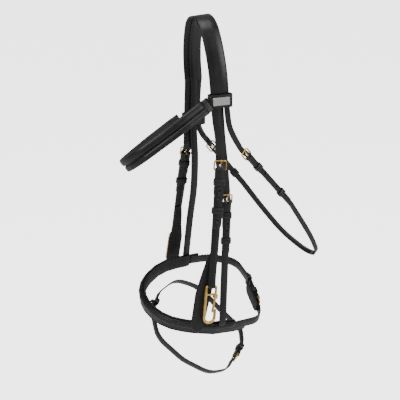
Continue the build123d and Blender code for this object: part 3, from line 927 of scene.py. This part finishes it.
def keeper(prefix, kind, along, low, high, gap, body):
    leg = LEGS[prefix]
    half = WIDTHS[prefix] / 2 + gap + KEEPER_WALL / 2
    low, high = low - gap - KEEPER_WALL / 2, high + gap + KEEPER_WALL / 2
    corners = [(-half, low), (half, low), (half, high), (-half, high)]
    route = [
        [leg.at(along, p.y, p.x), leg.s, KEEPER_LENGTH, KEEPER_WALL - 0.04]
        for p in closed_corners(corners, 1.5)
    ]
    piece = sweep(f"{prefix}_{kind}_loop", route, strap_section, LEATHERS, True)
    return ride_for(piece, f"{prefix}_{kind}_keeper", body)


for prefix in LEGS:
    keeper(prefix, "fixed", FIXED_KEEPERS[prefix], -LEATHER, STACK_TOP + 0.3, 0.0, "bridle")
for prefix, along in SLIDING_KEEPERS.items():
    keeper(prefix, "sliding", along, 0, STACK_TOP, 0.4, f"{prefix}_sliding_keeper")
print(len(FIXED_KEEPERS), "fixed keepers and", len(SLIDING_KEEPERS), "sliding ones")

# %% [markdown]
# ## The headpiece
# The headpiece, or crown, is the broad strap over the poll. On each side it is slit into
# two billets: one for the cheekpiece and one for the throatlatch. The crown is one swept
# strap that follows the arch, and each billet starts inside it and twists down to its own
# buckle.

# %% Crown
CROWN_WIDTH = 32.0
CROWN_THICK = 3.4
CROWN_SPLIT = -116.0
POLL_R = 36.0
SHOULDER_R = 160.0
CROWN_RISE = LEATHER + SKIN + 1.75
SLIP_RISE = LEATHER / 2
LEG_X = POLL_R * sin(pi / 3) + SHOULDER_R * (1 - sin(pi / 3))


def arch_points(rise, drop):
    """Half an arch, from its top to the bottom of a leg, in the crown's plane."""
    top, shoulder = POLL_R + rise, SHOULDER_R + rise
    points = [(top * sin(radians(a)), top * cos(radians(a)) - POLL_R) for a in range(0, 61, 6)]
    turn = Vector((sin(pi / 3), cos(pi / 3)))
    middle = Vector(points[-1]) - turn * shoulder
    for a in range(63, 91, 3):
        points.append((middle.x + shoulder * sin(radians(a)), middle.y + shoulder * cos(radians(a))))
    return points + [(points[-1][0], drop)]


def arch(rise, drop, width, thick):
    """The whole arch, from the far leg over the poll to the near leg."""
    half = arch_points(rise, drop)
    far = [(-x, y) for x, y in reversed(half)]
    pairs = [(CROWN.at(x, y), CROWN.up) for x, y in far + half[1:]]
    return stretch(pairs, width, thick)


def crown_point(x, side, drop):
    return CROWN.at(x, drop, -side)


crown_route = both_ends(arch(CROWN_RISE, CROWN_SPLIT, CROWN_WIDTH, CROWN_THICK),
                        skive_tip, skive_tip)
crown = sweep("crown", crown_route, strap_section, LEATHERS)
ride_for(crown, "headpiece")
print("crown", round(length_of(crown_route)), "mm over the poll")

# %% Billets of the headpiece
CROWN_X = LEG_X + CROWN_RISE
BILLETS = {
    "near_cheek": [
        (crown_point(CROWN_X, -7.5, CROWN_SPLIT + 22), (0, -1, 0)),
        (crown_point(CROWN_X, -7.5, CROWN_SPLIT + 6), (0, -1, 0)),
        ((57.6, 3.5, -150), (0, -1, 0)), ((58.4, 8.5, -185), (0, -1, 0)),
    ],
    "far_cheek": [
        (crown_point(-CROWN_X, -7.5, CROWN_SPLIT + 22), (0, 1, 0)),
        (crown_point(-CROWN_X, -7.5, CROWN_SPLIT + 6), (0, 1, 0)),
        ((-57.6, 0, -160), (0, 1, 0)), ((-58.6, -0.6, -190), (0, 1, 0)),
    ],
    "near_throatlatch": [
        (crown_point(CROWN_X, 10.5, CROWN_SPLIT + 22), (0, -1, 0)),
        (crown_point(CROWN_X, 10.5, CROWN_SPLIT + 6), (0, -1, 0)),
        ((57.6, 22, -140), (0, -1, -0.02)), ((56, 26.5, -165), (0, -1, -0.2)),
        ((54, 34.5, -184), (0, -1, -0.5)),
    ],
    "far_throatlatch": [
        (crown_point(-CROWN_X, 10.5, CROWN_SPLIT + 22), (0, 1, 0)),
        (crown_point(-CROWN_X, 10.5, CROWN_SPLIT + 6), (0, 1, 0)),
        ((-57.6, 17, -150), (0, 1, 0)), ((-57, 18, -190), (0, 1, 0.1)),
        ((-51.5, 22.5, -207), (0, 1, 0.4)),
    ],
}


def billet_route(prefix, stations):
    """From its first station through its buckle to its pointed tip."""
    leg = LEGS[prefix]
    points, radii = billet_points(TIPS[prefix])
    down = on_leg(leg, points, radii)
    upper = hanging([*stations, down[0]])
    return point_tip(stretch(upper[:-1] + down, WIDTHS[prefix]))


for prefix, stations in BILLETS.items():
    route = billet_route(prefix, stations)
    billet = sweep(f"{prefix}_billet", route, strap_section, LEATHERS)
    punch_billet(billet, LEGS[prefix], TIPS[prefix])
    ride_for(billet, "headpiece")
    print(prefix, "billet", round(length_of(route)), "mm")

# %% [markdown]
# ## The sliphead
# A second, narrower strap goes over the poll under the crown and carries the noseband.
# On the far side it runs all the way down and is sewn in between the noseband's layers;
# on the near side it ends in a billet, so that the noseband can be raised or lowered.

# %% Sliphead
SLIP_WIDTH = WIDTHS["near_noseband"]
SLIP_SPLIT = -124.0


def sliphead_route():
    arched = arch(SLIP_RISE, SLIP_SPLIT, SLIP_WIDTH, LAYER)
    far = hanging([
        (NOSE.at(-95.6, 4, 4), (0, -1, 0)), ((-77, 9, -375), (0, -1, 0)),
        ((-62, 11, -310), (0, -1, 0)), ((-53, 9.5, -250), (0, -1, 0)),
        ((-53, 7.5, -200), (0, -1, 0)), (arched[0][0], (0, -1, 0)),
    ])
    leg = LEGS["near_noseband"]
    points, radii = billet_points(TIPS["near_noseband"])
    down = on_leg(leg, points, radii)
    near = hanging([
        (arched[-1][0], (0, -1, 0)), ((53.8, 14, -180), (0, -1, 0)),
        ((53.8, 19, -225), (0, -1, 0)), down[0],
    ])
    over = [(step[0], step[1]) for step in arched]
    return point_tip(stretch(far[:-1] + over + near[1:-1] + down, SLIP_WIDTH))


sliphead_steps = sliphead_route()
sliphead = sweep("noseband_sliphead", sliphead_steps, strap_section, LEATHERS)
punch_billet(sliphead, LEGS["near_noseband"], TIPS["near_noseband"])
ride_for(sliphead, "sliphead")
print("sliphead", round(length_of(sliphead_steps)), "mm")

# %% [markdown]
# ## Cheekpieces
# A cheekpiece hangs from the headpiece's billet and carries the bit. It is one strap:
# folded round the buckle above, and below folded round the eye of a snap hook. It tapers
# towards the hook, and both return leaves are sewn down at the back.

# %% Cheekpieces
NEAR_DROP = 199.0
FAR_DROP = 175.0
EYE_ROUND = EYE_BAR + SKIN + 0.95
END_WIDTH = 12.8
TAPER_FROM = 50.0


def cheekpiece(prefix, node, drop):
    leg, wide = LEGS[prefix], WIDTHS[prefix]
    points, radii = fold_points(RETURN_LEAF, drop - SETTLE)
    points += [
        (-drop - EYE_ROUND + 0.1, EYE_ROUND), (-drop - EYE_ROUND + 0.1, -EYE_ROUND),
        (-drop + SETTLE, -LEAF), (-drop + RETURN_LEAF, -LEAF),
    ]
    route = stretch(on_leg(leg, points, radii + [12, 2.9, 2.9, 12]), wide)
    pare_round(route, leg.at(0))
    pare_round(route, leg.at(-drop))
    for step in route:
        down = max(0.0, (leg.heel - step[0]).dot(leg.s) - TAPER_FROM)
        step[2] = wide - (wide - END_WIDTH) * min(1.0, down / (drop - TAPER_FROM))
    route = both_ends(route, skive_tip, skive_tip)
    piece = sweep(node + "_strap", route, strap_section, LEATHERS)
    slot_fold(piece, leg)
    ride_for(piece, node)
    sewn = stretch([(leg.at(-12, 0), leg.t), (leg.at(-RETURN_LEAF + 2, 0), leg.t)], wide)
    low = stretch(
        [(leg.at(-drop + RETURN_LEAF - 2, 0), leg.t), (leg.at(-drop + 10, 0), leg.t)], END_WIDTH
    )
    rows = [(sewn, side * 6.1, out, 0, 0) for side in (-1, 1) for out in BOTH_FACES]
    rows += [(low, side * 4.5, out, 0, 0) for side in (-1, 1) for out in BOTH_FACES]
    stitches(node + "_stitching", rows)
    return length_of(route)


print("near cheekpiece", round(cheekpiece("near_cheek", "near_cheekpiece", NEAR_DROP)), "mm")
print("far cheekpiece", round(cheekpiece("far_cheek", "far_cheekpiece", FAR_DROP)), "mm")

# %% [markdown]
# ## Guard flaps
# A soft leather flap hangs behind each snap hook, so that the brass never rubs the
# horse's lip. It is sewn to the back of the cheekpiece and widens downwards. The flap is
# a sweep whose width and middle line change as it goes, with a rounded lower edge.

# %% Guard flaps
def between(table, x):
    """A value read off a short (x, value) table."""
    for (a, low), (b, high) in zip(table, table[1:]):
        if (a - x) * (b - x) <= 0:
            return low + (high - low) * (x - a) / (b - a)
    return table[-1][1] if abs(x - table[-1][0]) < abs(x - table[0][0]) else table[0][1]


def guard_flap(prefix, node, edge_route, front, back, lower):
    leg = LEGS[prefix]
    edge = rounded(edge_route, [14, 14])
    pairs = [(leg.at(p.x, p.y), leg.t) for p in edge]
    route = stretch(pairs, 10.0, 2.4)
    for step in route:
        s = (step[0] - leg.heel).dot(leg.s)
        high, low = between(front, s), between(back, s)
        step[2] = high - low
        step[0] = step[0] + leg.t * (high + low) / 2
        left = s - lower
        if left < 5:
            step[2] *= 0.55 + 0.45 * sqrt(max(0.0, 1 - (1 - left / 5) ** 2))
    piece = sweep(node + "_leather", route, strap_section, (LINING, EDGE))
    ride_for(piece, node)
    rows = [(route, 0, 1.2, 3, 26)]
    stitches(node + "_stitching", rows)


guard_flap(
    "near_cheek", "near_guard_flap", [(-138, -1.5), (-156, -5.4), (-190, -6.4), (-278, -6.4)],
    [(-138, 5), (-176, 16), (-215, 26), (-262, 30), (-278, 27)],
    [(-138, -5), (-190, -7), (-278, 8)], -278,
)
guard_flap(
    "far_cheek", "far_guard_flap", [(-114, -1.5), (-132, -5.4), (-166, -6.4), (-252, -6.4)],
    [(-114, 6), (-150, 8), (-180, 13), (-252, 13)],
    [(-114, -6), (-150, -8), (-180, -13), (-252, -13)], -252,
)
print("two guard flaps")

# %% [markdown]
# ## Snap hooks
# The hooks are cast brass with a sprung gate on a small pin, so that a bit can be clipped
# on. Their shape is right in the solid model already, so those solids stay and take the
# polished brass finish, and the pins take nickel.

# %% Finishes of the carried-over fittings
def finish_solid(node, material):
    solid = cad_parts[node]
    solid.data.materials.clear()
    solid.data.materials.append(material)


for side in ("near", "far"):
    finish_solid(f"{side}_snap_hook", BRASS)
    finish_solid(f"{side}_hook_gate", BRASS)
    finish_solid(f"{side}_gate_pin", NICKEL)
finish_solid("nameplate", NICKEL)
print("hooks, gates, pins and plate have their metal")

# %% [markdown]
# ## The noseband
# The noseband is built up like a sandwich: a flat outer strap, a thin filler, and a soft
# stuffed lining against the horse, with a raised roll of padded leather on the outside.
# Each layer is swept along the same route at its own distance out, so the layers nest.

# %% Noseband layers
NOSE_BENDS = [(88, -10), (45, -100), (-35, -112), (-93, -50)]
NOSE_RADII = [140, 80, 70, 100]
NEAR_JOINT = (85 + 1 / 3, 30)
FAR_JOINT = (-96.1, 12)
NOSE_PAD = 5.0
NOSE_WIDTH = 24.0


def nose_band(near_end, far_end):
    return stretch(in_ring(NOSE, [near_end, *NOSE_BENDS, far_end], NOSE_RADII), NOSE_WIDTH)


def set_out(section, out):
    return lambda width, thick: [(x, y + out) for x, y in section(width, thick)]


def fade_ends(route, length=14.0, least=0.08):
    """Brings a roll or lining down to nothing at its two ends."""
    total, walked, before = length_of(route), 0.0, route[0][0]
    for step in route:
        walked += (step[0] - before).length
        before = step[0]
        near = min(walked, total - walked) / length
        step[3] = least + (1 - least) * sqrt(max(0.0, 1 - (1 - min(1.0, near)) ** 2))
    return route


outer_route = both_ends(nose_band((84, 50), (-97, 30)), skive_tip, skive_tip)
outer = sweep("noseband_strap", outer_route, set_out(strap_section, LEATHER / 2), LEATHERS)
ride_for(outer, "noseband_outer_strap")
filler = sweep(
    "noseband_filler", nose_band(NEAR_JOINT, FAR_JOINT),
    lambda width, thick: [(11, -0.05), (-11, -0.05), (-11, -2.35), (11, -2.35)], [EDGE],
    burnished=False,
)
ride_for(filler, "noseband_core")
roll_route = fade_ends(nose_band(NEAR_JOINT, (-95.5, 0)))
roll = sweep(
    "noseband_roll", roll_route,
    lambda width, thick: roll_section(0.6, 11, LEATHER, 3.3 * thick), [ROLLED], burnished=False,
)
ride_for(roll, "noseband_raised_roll")
lining_route = fade_ends(nose_band(NEAR_JOINT, FAR_JOINT))
lining = sweep(
    "noseband_soft_lining", lining_route,
    lambda width, thick: pad_section(-12, 13.6, -LEATHER - NOSE_PAD * thick, -LEATHER),
    [LINING], burnished=False,
)
ride_for(lining, "noseband_lining")
stitches("noseband_stitching", [
    (outer_route, -10.3, 2.42, 8, -8), (outer_route, -0.6, 2.42, 22, -34),
    (outer_route, 11.35, 2.3, 22, -34),
])
print("noseband", round(length_of(outer_route)), "mm round the nose")

# %% Near cheek strap of the noseband
near_leg = LEGS["near_noseband"]
strap_points, strap_radii = fold_points(RETURN_LEAF, 150)
upper_part = on_leg(near_leg, strap_points, strap_radii)
lower_part = hanging([
    upper_part[-1], (NOSE.at(86.6, 3, 22), near_leg.t), (NOSE.at(86.6, 3, 3), near_leg.t),
])
near_steps = stretch(upper_part[:-1] + lower_part, SLIP_WIDTH)
near_steps = skive_tip(pare_round(near_steps, near_leg.heel))
near_steps = skive_start(near_steps)
near_strap = sweep("near_noseband_cheek_strap", near_steps, strap_section, LEATHERS)
slot_fold(near_strap, near_leg)
ride_for(near_strap, "near_noseband_strap")
sewn_part = stretch([(near_leg.at(-12), near_leg.t), (near_leg.at(-40), near_leg.t)], SLIP_WIDTH)
stitches("near_noseband_stitching", [
    (sewn_part, side * 4.6, out, 0, 0) for side in (-1, 1) for out in BOTH_FACES
])
print("near cheek strap", round(length_of(near_steps)), "mm")

# %% [markdown]
# ## Jaw and flash straps
# Behind the jaw the noseband closes with a buckle, over a small pad that keeps it off the
# bone. Lower down, the flash strap hangs from a loop on the noseband and buckles round the
# muzzle. Both lie flat in a tilted plane, so their corners are written in that plane.

# %% Jaw straps
def in_jaw(points):
    return [NOSE.flat(LEGS["jaw"].at(*p)) for p in points]


jaw_leg = LEGS["jaw"]
tip_points, tip_radii = billet_points(TIPS["jaw"])
jaw_route = stretch(in_ring(
    NOSE, [(84.1, 30), (82.9, 48), (80.5, 85.4), *in_jaw(tip_points[1:])], [60, 24, *tip_radii]
), WIDTHS["jaw"])
jaw_billet = sweep("jaw_billet", point_tip(jaw_route), strap_section, LEATHERS)
punch_billet(jaw_billet, jaw_leg, TIPS["jaw"])
ride_for(jaw_billet, "jaw_billet_strap")
jaw_fold, jaw_radii = fold_points(RETURN_LEAF, 55)
chape_route = stretch(in_ring(
    NOSE, [*in_jaw(jaw_fold), *in_jaw([(-64, LEAF)]), (-72, 97), (-93.9, 50), (-94.9, 12.8)],
    [*jaw_radii, 60, 60, 34, 60],
), WIDTHS["jaw"])
chape_route = skive_start(pare_round(chape_route, jaw_leg.heel))
jaw_chape = sweep("jaw_buckle_side", chape_route, strap_section, LEATHERS)
slot_fold(jaw_chape, jaw_leg)
ride_for(jaw_chape, "jaw_buckle_strap")
print("jaw straps", round(length_of(jaw_route)), "and", round(length_of(chape_route)), "mm")

# %% Jaw pad
under = -LEATHER - KEEPER_WALL
pad_route = stretch(
    [(jaw_leg.at(-39, under - 1.9), jaw_leg.t), (jaw_leg.at(22, under - 1.9), jaw_leg.t)], 22.0, 3.3
)
pad_route = both_ends(pad_route, point_tip, point_tip)
pad = sweep("jaw_padding", pad_route, lambda w, t: strap_section(w, t, False), [LINING],
            burnished=False)
ride_for(pad, "jaw_pad")
print("jaw pad", round(length_of(pad_route)), "mm long")

# %% Flash strap
def in_flash(points):
    return [FLASH.flat(LEGS["flash"].at(*p)) for p in points]


flash_leg = LEGS["flash"]
flash_fold, flash_radii = fold_points(26, 34)
flash_bends = [
    (93, 50), (40, 66), (-12, 86), (-60, 72), (-83, 26), (-81, -20), (-58, -60), (0, -75),
    (55, -72), (87, -46),
]
tip_points, tip_radii = billet_points(TIPS["flash"])
flash_route = stretch(in_ring(
    FLASH, [*in_flash(flash_fold), *flash_bends, *in_flash(tip_points[1:])],
    [*flash_radii, 14, 14, 60, 60, 40, 40, 40, 40, 60, 50, 30, *tip_radii],
), WIDTHS["flash"])
flash_route = point_tip(pare_round(flash_route, flash_leg.heel))
# The billet lies over its own strap's heel bar, and keeps its full thickness there.
for step in flash_route:
    if (step[0] - flash_leg.at(0, BILLET_OUT)).length < 1:
        step[3] = LAYER
flash_route = skive_start(flash_route)
flash_strap = sweep("flash_band", flash_route, strap_section, LEATHERS)
punch(flash_strap, flash_leg, [(0.5, 0, 6.0, 1.8), (HOLE_AT, 1.0, 4.8, 1.8)])
ride_for(flash_strap, "flash_strap")
print("flash strap", round(length_of(flash_route)), "mm")

# %% Flash loop
LOOP_PLAY = 1.4
loop_half = (LOOP_PLAY + LEATHER / 2 + KEEPER_WALL / 2,
             WIDTHS["flash"] / 2 + LOOP_PLAY + KEEPER_WALL / 2)
loop_at = (-82.0, 3.0)
corners = [(-loop_half[0], -loop_half[1]), (loop_half[0], -loop_half[1]),
           (loop_half[0], loop_half[1]), (-loop_half[0], loop_half[1])]
loop_route = [
    [FLASH.at(loop_at[0] + p.x, loop_at[1], p.y), FLASH.y, 9.8, KEEPER_WALL]
    for p in closed_corners(corners, 1.4)
]
flash_loop = sweep("flash_keeper_loop", loop_route, strap_section, LEATHERS, True)
ride_for(flash_loop, "flash_loop")
tab_start = FLASH.at(loop_at[0] - loop_half[0], loop_at[1])
tab_route = stretch([(tab_start, FLASH.up), (FLASH.at(loop_at[0] - 9.5, loop_at[1]), FLASH.up)],
                    8.0, 9.5)
tab = sweep("flash_loop_tab", tab_route, lambda w, t: strap_section(w, 2.2, False), [BRIDLE],
            burnished=False)
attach(tab, "bridle")
print("flash loop is", round(2 * loop_half[1]), "mm high")

# %% [markdown]
# ## The throatlatch
# The throatlatch keeps the bridle from being rubbed off over the ears. It is one long
# narrow strap, folded round a buckle at each end, that hangs in a loop under the throat.
# Its lowest stretch turns over on itself, as a stiff strap does when it hangs free.

# %% Throatlatch
near_throat, far_throat = LEGS["near_throatlatch"], LEGS["far_throatlatch"]
HANG = (0.2, -0.72, -0.66)
near_fold, near_radii = fold_points(RETURN_LEAF, 138)
far_fold, far_radii = fold_points(RETURN_LEAF, 86)
near_part = on_leg(near_throat, near_fold, near_radii)
far_part = [(p, -a) for p, a in reversed(on_leg(far_throat, far_fold, far_radii))]
loop_part = hanging([
    near_part[-1], ((22, 188, -372), HANG), ((13, 211, -406), HANG), ((5, 226, -432), HANG),
    ((-1, 231, -443), HANG), ((-8, 230, -449), HANG), ((-15, 221, -446), HANG),
    ((-20, 204, -433), HANG), ((-26, 172, -402), HANG), ((-31, 135, -356), (0.06, -0.76, -0.63)),
    far_part[0],
])
throat_route = stretch(near_part[:-1] + loop_part[:-1] + far_part, WIDTHS["near_throatlatch"])
pare_round(throat_route, near_throat.heel)
pare_round(throat_route, far_throat.heel)
throat_route = both_ends(throat_route, skive_tip, skive_tip)
throat = sweep("throatlatch_strap", throat_route, strap_section, LEATHERS)
slot_fold(throat, near_throat)
slot_fold(throat, far_throat)
ride_for(throat, "throatlatch")
print("throatlatch", round(length_of(throat_route)), "mm")

# %% [markdown]
# ## The browband
# The browband lies across the forehead and stops the crown from sliding back. A broad
# padded roll runs along its upper half and a narrower, ribbed roll along its lower half,
# with a deep groove between them. Each end is a loop that the crown's straps go through.

# %% Browband layers
BROW_X = 65.2
BROW_WIDTH = 23.0
BROW_BENDS = [(BROW_X, -75), (30, -152), (-30, -152), (-BROW_X, -75)]
BROW_RADII = [90, 45, 45, 90]
RIB_PITCH = 3.2


def brow_band(end):
    corners = [(BROW_X, end), *BROW_BENDS, (-BROW_X, end)]
    return stretch(in_ring(BROW, corners, BROW_RADII), BROW_WIDTH)


def ribbed(route, depth=0.09):
    """Divides a route finely and raises a rib at even distances."""
    made, walked = [], 0.0
    for a, b in zip(route, route[1:]):
        step = (b[0] - a[0]).length
        parts = max(1, int(step / 0.8))
        for i in range(parts):
            u = i / parts
            lift = abs(sin(pi * (walked + step * u) / RIB_PITCH)) ** 0.7
            scale = (a[3] + (b[3] - a[3]) * u) * (1 - depth + depth * lift)
            made.append([a[0].lerp(b[0], u), a[1], a[2], scale])
        walked += step
    return made


brow_route = brow_band(-3)
brow = sweep("browband_base", brow_route, set_out(strap_section, LEATHER / 2), LEATHERS)
ride_for(brow, "browband_strap", "browband")
upper_route = fade_ends(brow_band(-14), 10)
upper = sweep("browband_wide_roll", upper_route,
              lambda width, thick: roll_section(-0.4, 12, LEATHER, 4.1 * thick), [ROLLED],
              burnished=False)
ride_for(upper, "browband_upper_roll", "browband")
lower_route = ribbed(fade_ends(brow_band(-14), 10))
lower = sweep("browband_ribbed_roll", lower_route,
              lambda width, thick: roll_section(-12, -2, LEATHER, 3.1 * thick), [ROLLED],
              burnished=False)
ride_for(lower, "browband_lower_roll", "browband")
brow_lining_route = fade_ends(brow_band(-20), 12)
brow_lining = sweep("browband_soft_lining", brow_lining_route,
                    lambda width, thick: pad_section(-11.3, 11.3, -3.4 * thick, 0), [LINING],
                    burnished=False)
ride_for(brow_lining, "browband_lining", "browband")
stitches("browband_stitching", [
    (brow_route, -1.2, 2.5, 14, -14), (brow_route, 10.2, 0.0, 10, -10),
    (brow_route, -10.2, 0.0, 10, -10),
], "browband")
print("browband", round(length_of(brow_route)), "mm round the forehead")

# %% Browband loops
LOOP_WALL = 2.2
LOOP_HEIGHT = 22.0
BROW_LOOPS = {
    "near": ((55.8, 10, -123), (8.4, 36.4)),
    "far": ((-56, 8.6, -180), (8.6, 36.4)),
}
for side, (centre, (wide, long)) in BROW_LOOPS.items():
    x, y = (wide + LOOP_WALL) / 2, (long + LOOP_WALL) / 2
    corners = [(-x, -y), (x, -y), (x, y), (-x, y)]
    route = [
        [Vector(centre) + Vector((p.x, p.y, 0)), UP, LOOP_HEIGHT, LOOP_WALL]
        for p in closed_corners(corners, 2.4)
    ]
    loop = sweep(f"browband_{side}_loop", route, strap_section, LEATHERS, True)
    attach(loop, "browband")
print(len(BROW_LOOPS), "browband loops")

# %% [markdown]
# ## Studio, light and camera
# The bridle hangs free in front of a plain pale ground. Large soft lamps give the broad
# highlights that show black leather's shape, and a narrow one from behind draws its edges.

# %% Floor and world
FLOOR_GLOW = 3.0
SKY_LIGHT = 0.35
SKY_SEEN = 4.0


def floor():
    mesh = bpy.data.meshes.new("floor")
    reach, depth = 9.0, cad_box[0].z - 0.25
    mesh.from_pydata([(-reach, -reach, depth), (reach, -reach, depth), (reach, reach, depth),
                      (-reach, reach, depth)], [], [(0, 1, 2, 3)])
    ground = bpy.data.objects.new("floor", mesh)
    material = bpy.data.materials.new("pale_floor")
    material.use_nodes = True
    shader = material.node_tree.nodes["Principled BSDF"]
    shader.inputs["Base Color"].default_value = (0.93, 0.93, 0.93, 1)
    shader.inputs["Roughness"].default_value = 0.9
    shader.inputs["Emission Color"].default_value = (1, 1, 1, 1)
    seen = material.node_tree.nodes.new("ShaderNodeLightPath").outputs["Is Camera Ray"]
    glow = math_node(material.node_tree, "MULTIPLY", seen, FLOOR_GLOW)
    material.node_tree.links.new(glow, shader.inputs["Emission Strength"])
    mesh.materials.append(material)
    bpy.context.scene.collection.objects.link(ground)


floor()
world = bpy.data.worlds.new("studio")
world.use_nodes = True
sky = world.node_tree.nodes["Background"]
sky.inputs["Color"].default_value = (1, 1, 1, 1)
looked_at = world.node_tree.nodes.new("ShaderNodeLightPath").outputs["Is Camera Ray"]
strength = spread(world.node_tree, looked_at, SKY_LIGHT, SKY_SEEN, 0, 1)
world.node_tree.links.new(strength, sky.inputs["Strength"])
bpy.context.scene.world = world
print("floor and world")

# %% Lamps
LOOK_AT = Vector((0, -0.002, -0.31))
TOWARDS_CAMERA = Vector((0.8713, -0.3520, 0.3420)).normalized()


def softbox(name, place, size, power):
    lamp = bpy.data.lights.new(name, "AREA")
    lamp.shape, lamp.size, lamp.size_y, lamp.energy = "RECTANGLE", size[0], size[1], power
    holder = bpy.data.objects.new(name, lamp)
    holder.location = place
    holder.rotation_mode = "QUATERNION"
    holder.rotation_quaternion = (Vector(place) - LOOK_AT).to_track_quat("Z", "Y")
    bpy.context.scene.collection.objects.link(holder)


softbox("key_softbox", (1.1, -1.6, 1.1), (1.0, 1.4), 30)
softbox("side_softbox", (1.3, 1.5, 0.5), (0.8, 1.4), 18)
softbox("top_softbox", (0.2, 0.0, 1.7), (1.2, 1.2), 20)
print("three lamps")

# %% Camera
LENS = 83.72
DISTANCE = 1.6
SENSOR = 36.0
camera = bpy.data.cameras.new("camera")
camera.lens, camera.sensor_width = LENS, SENSOR
camera.clip_start, camera.clip_end = 0.05, 50
viewer = bpy.data.objects.new("camera", camera)
viewer.location = LOOK_AT + TOWARDS_CAMERA * DISTANCE
viewer.rotation_mode = "QUATERNION"
viewer.rotation_quaternion = TOWARDS_CAMERA.to_track_quat("Z", "Y")
bpy.context.scene.collection.objects.link(viewer)
bpy.context.scene.camera = viewer
print("camera", round(DISTANCE, 2), "m away")
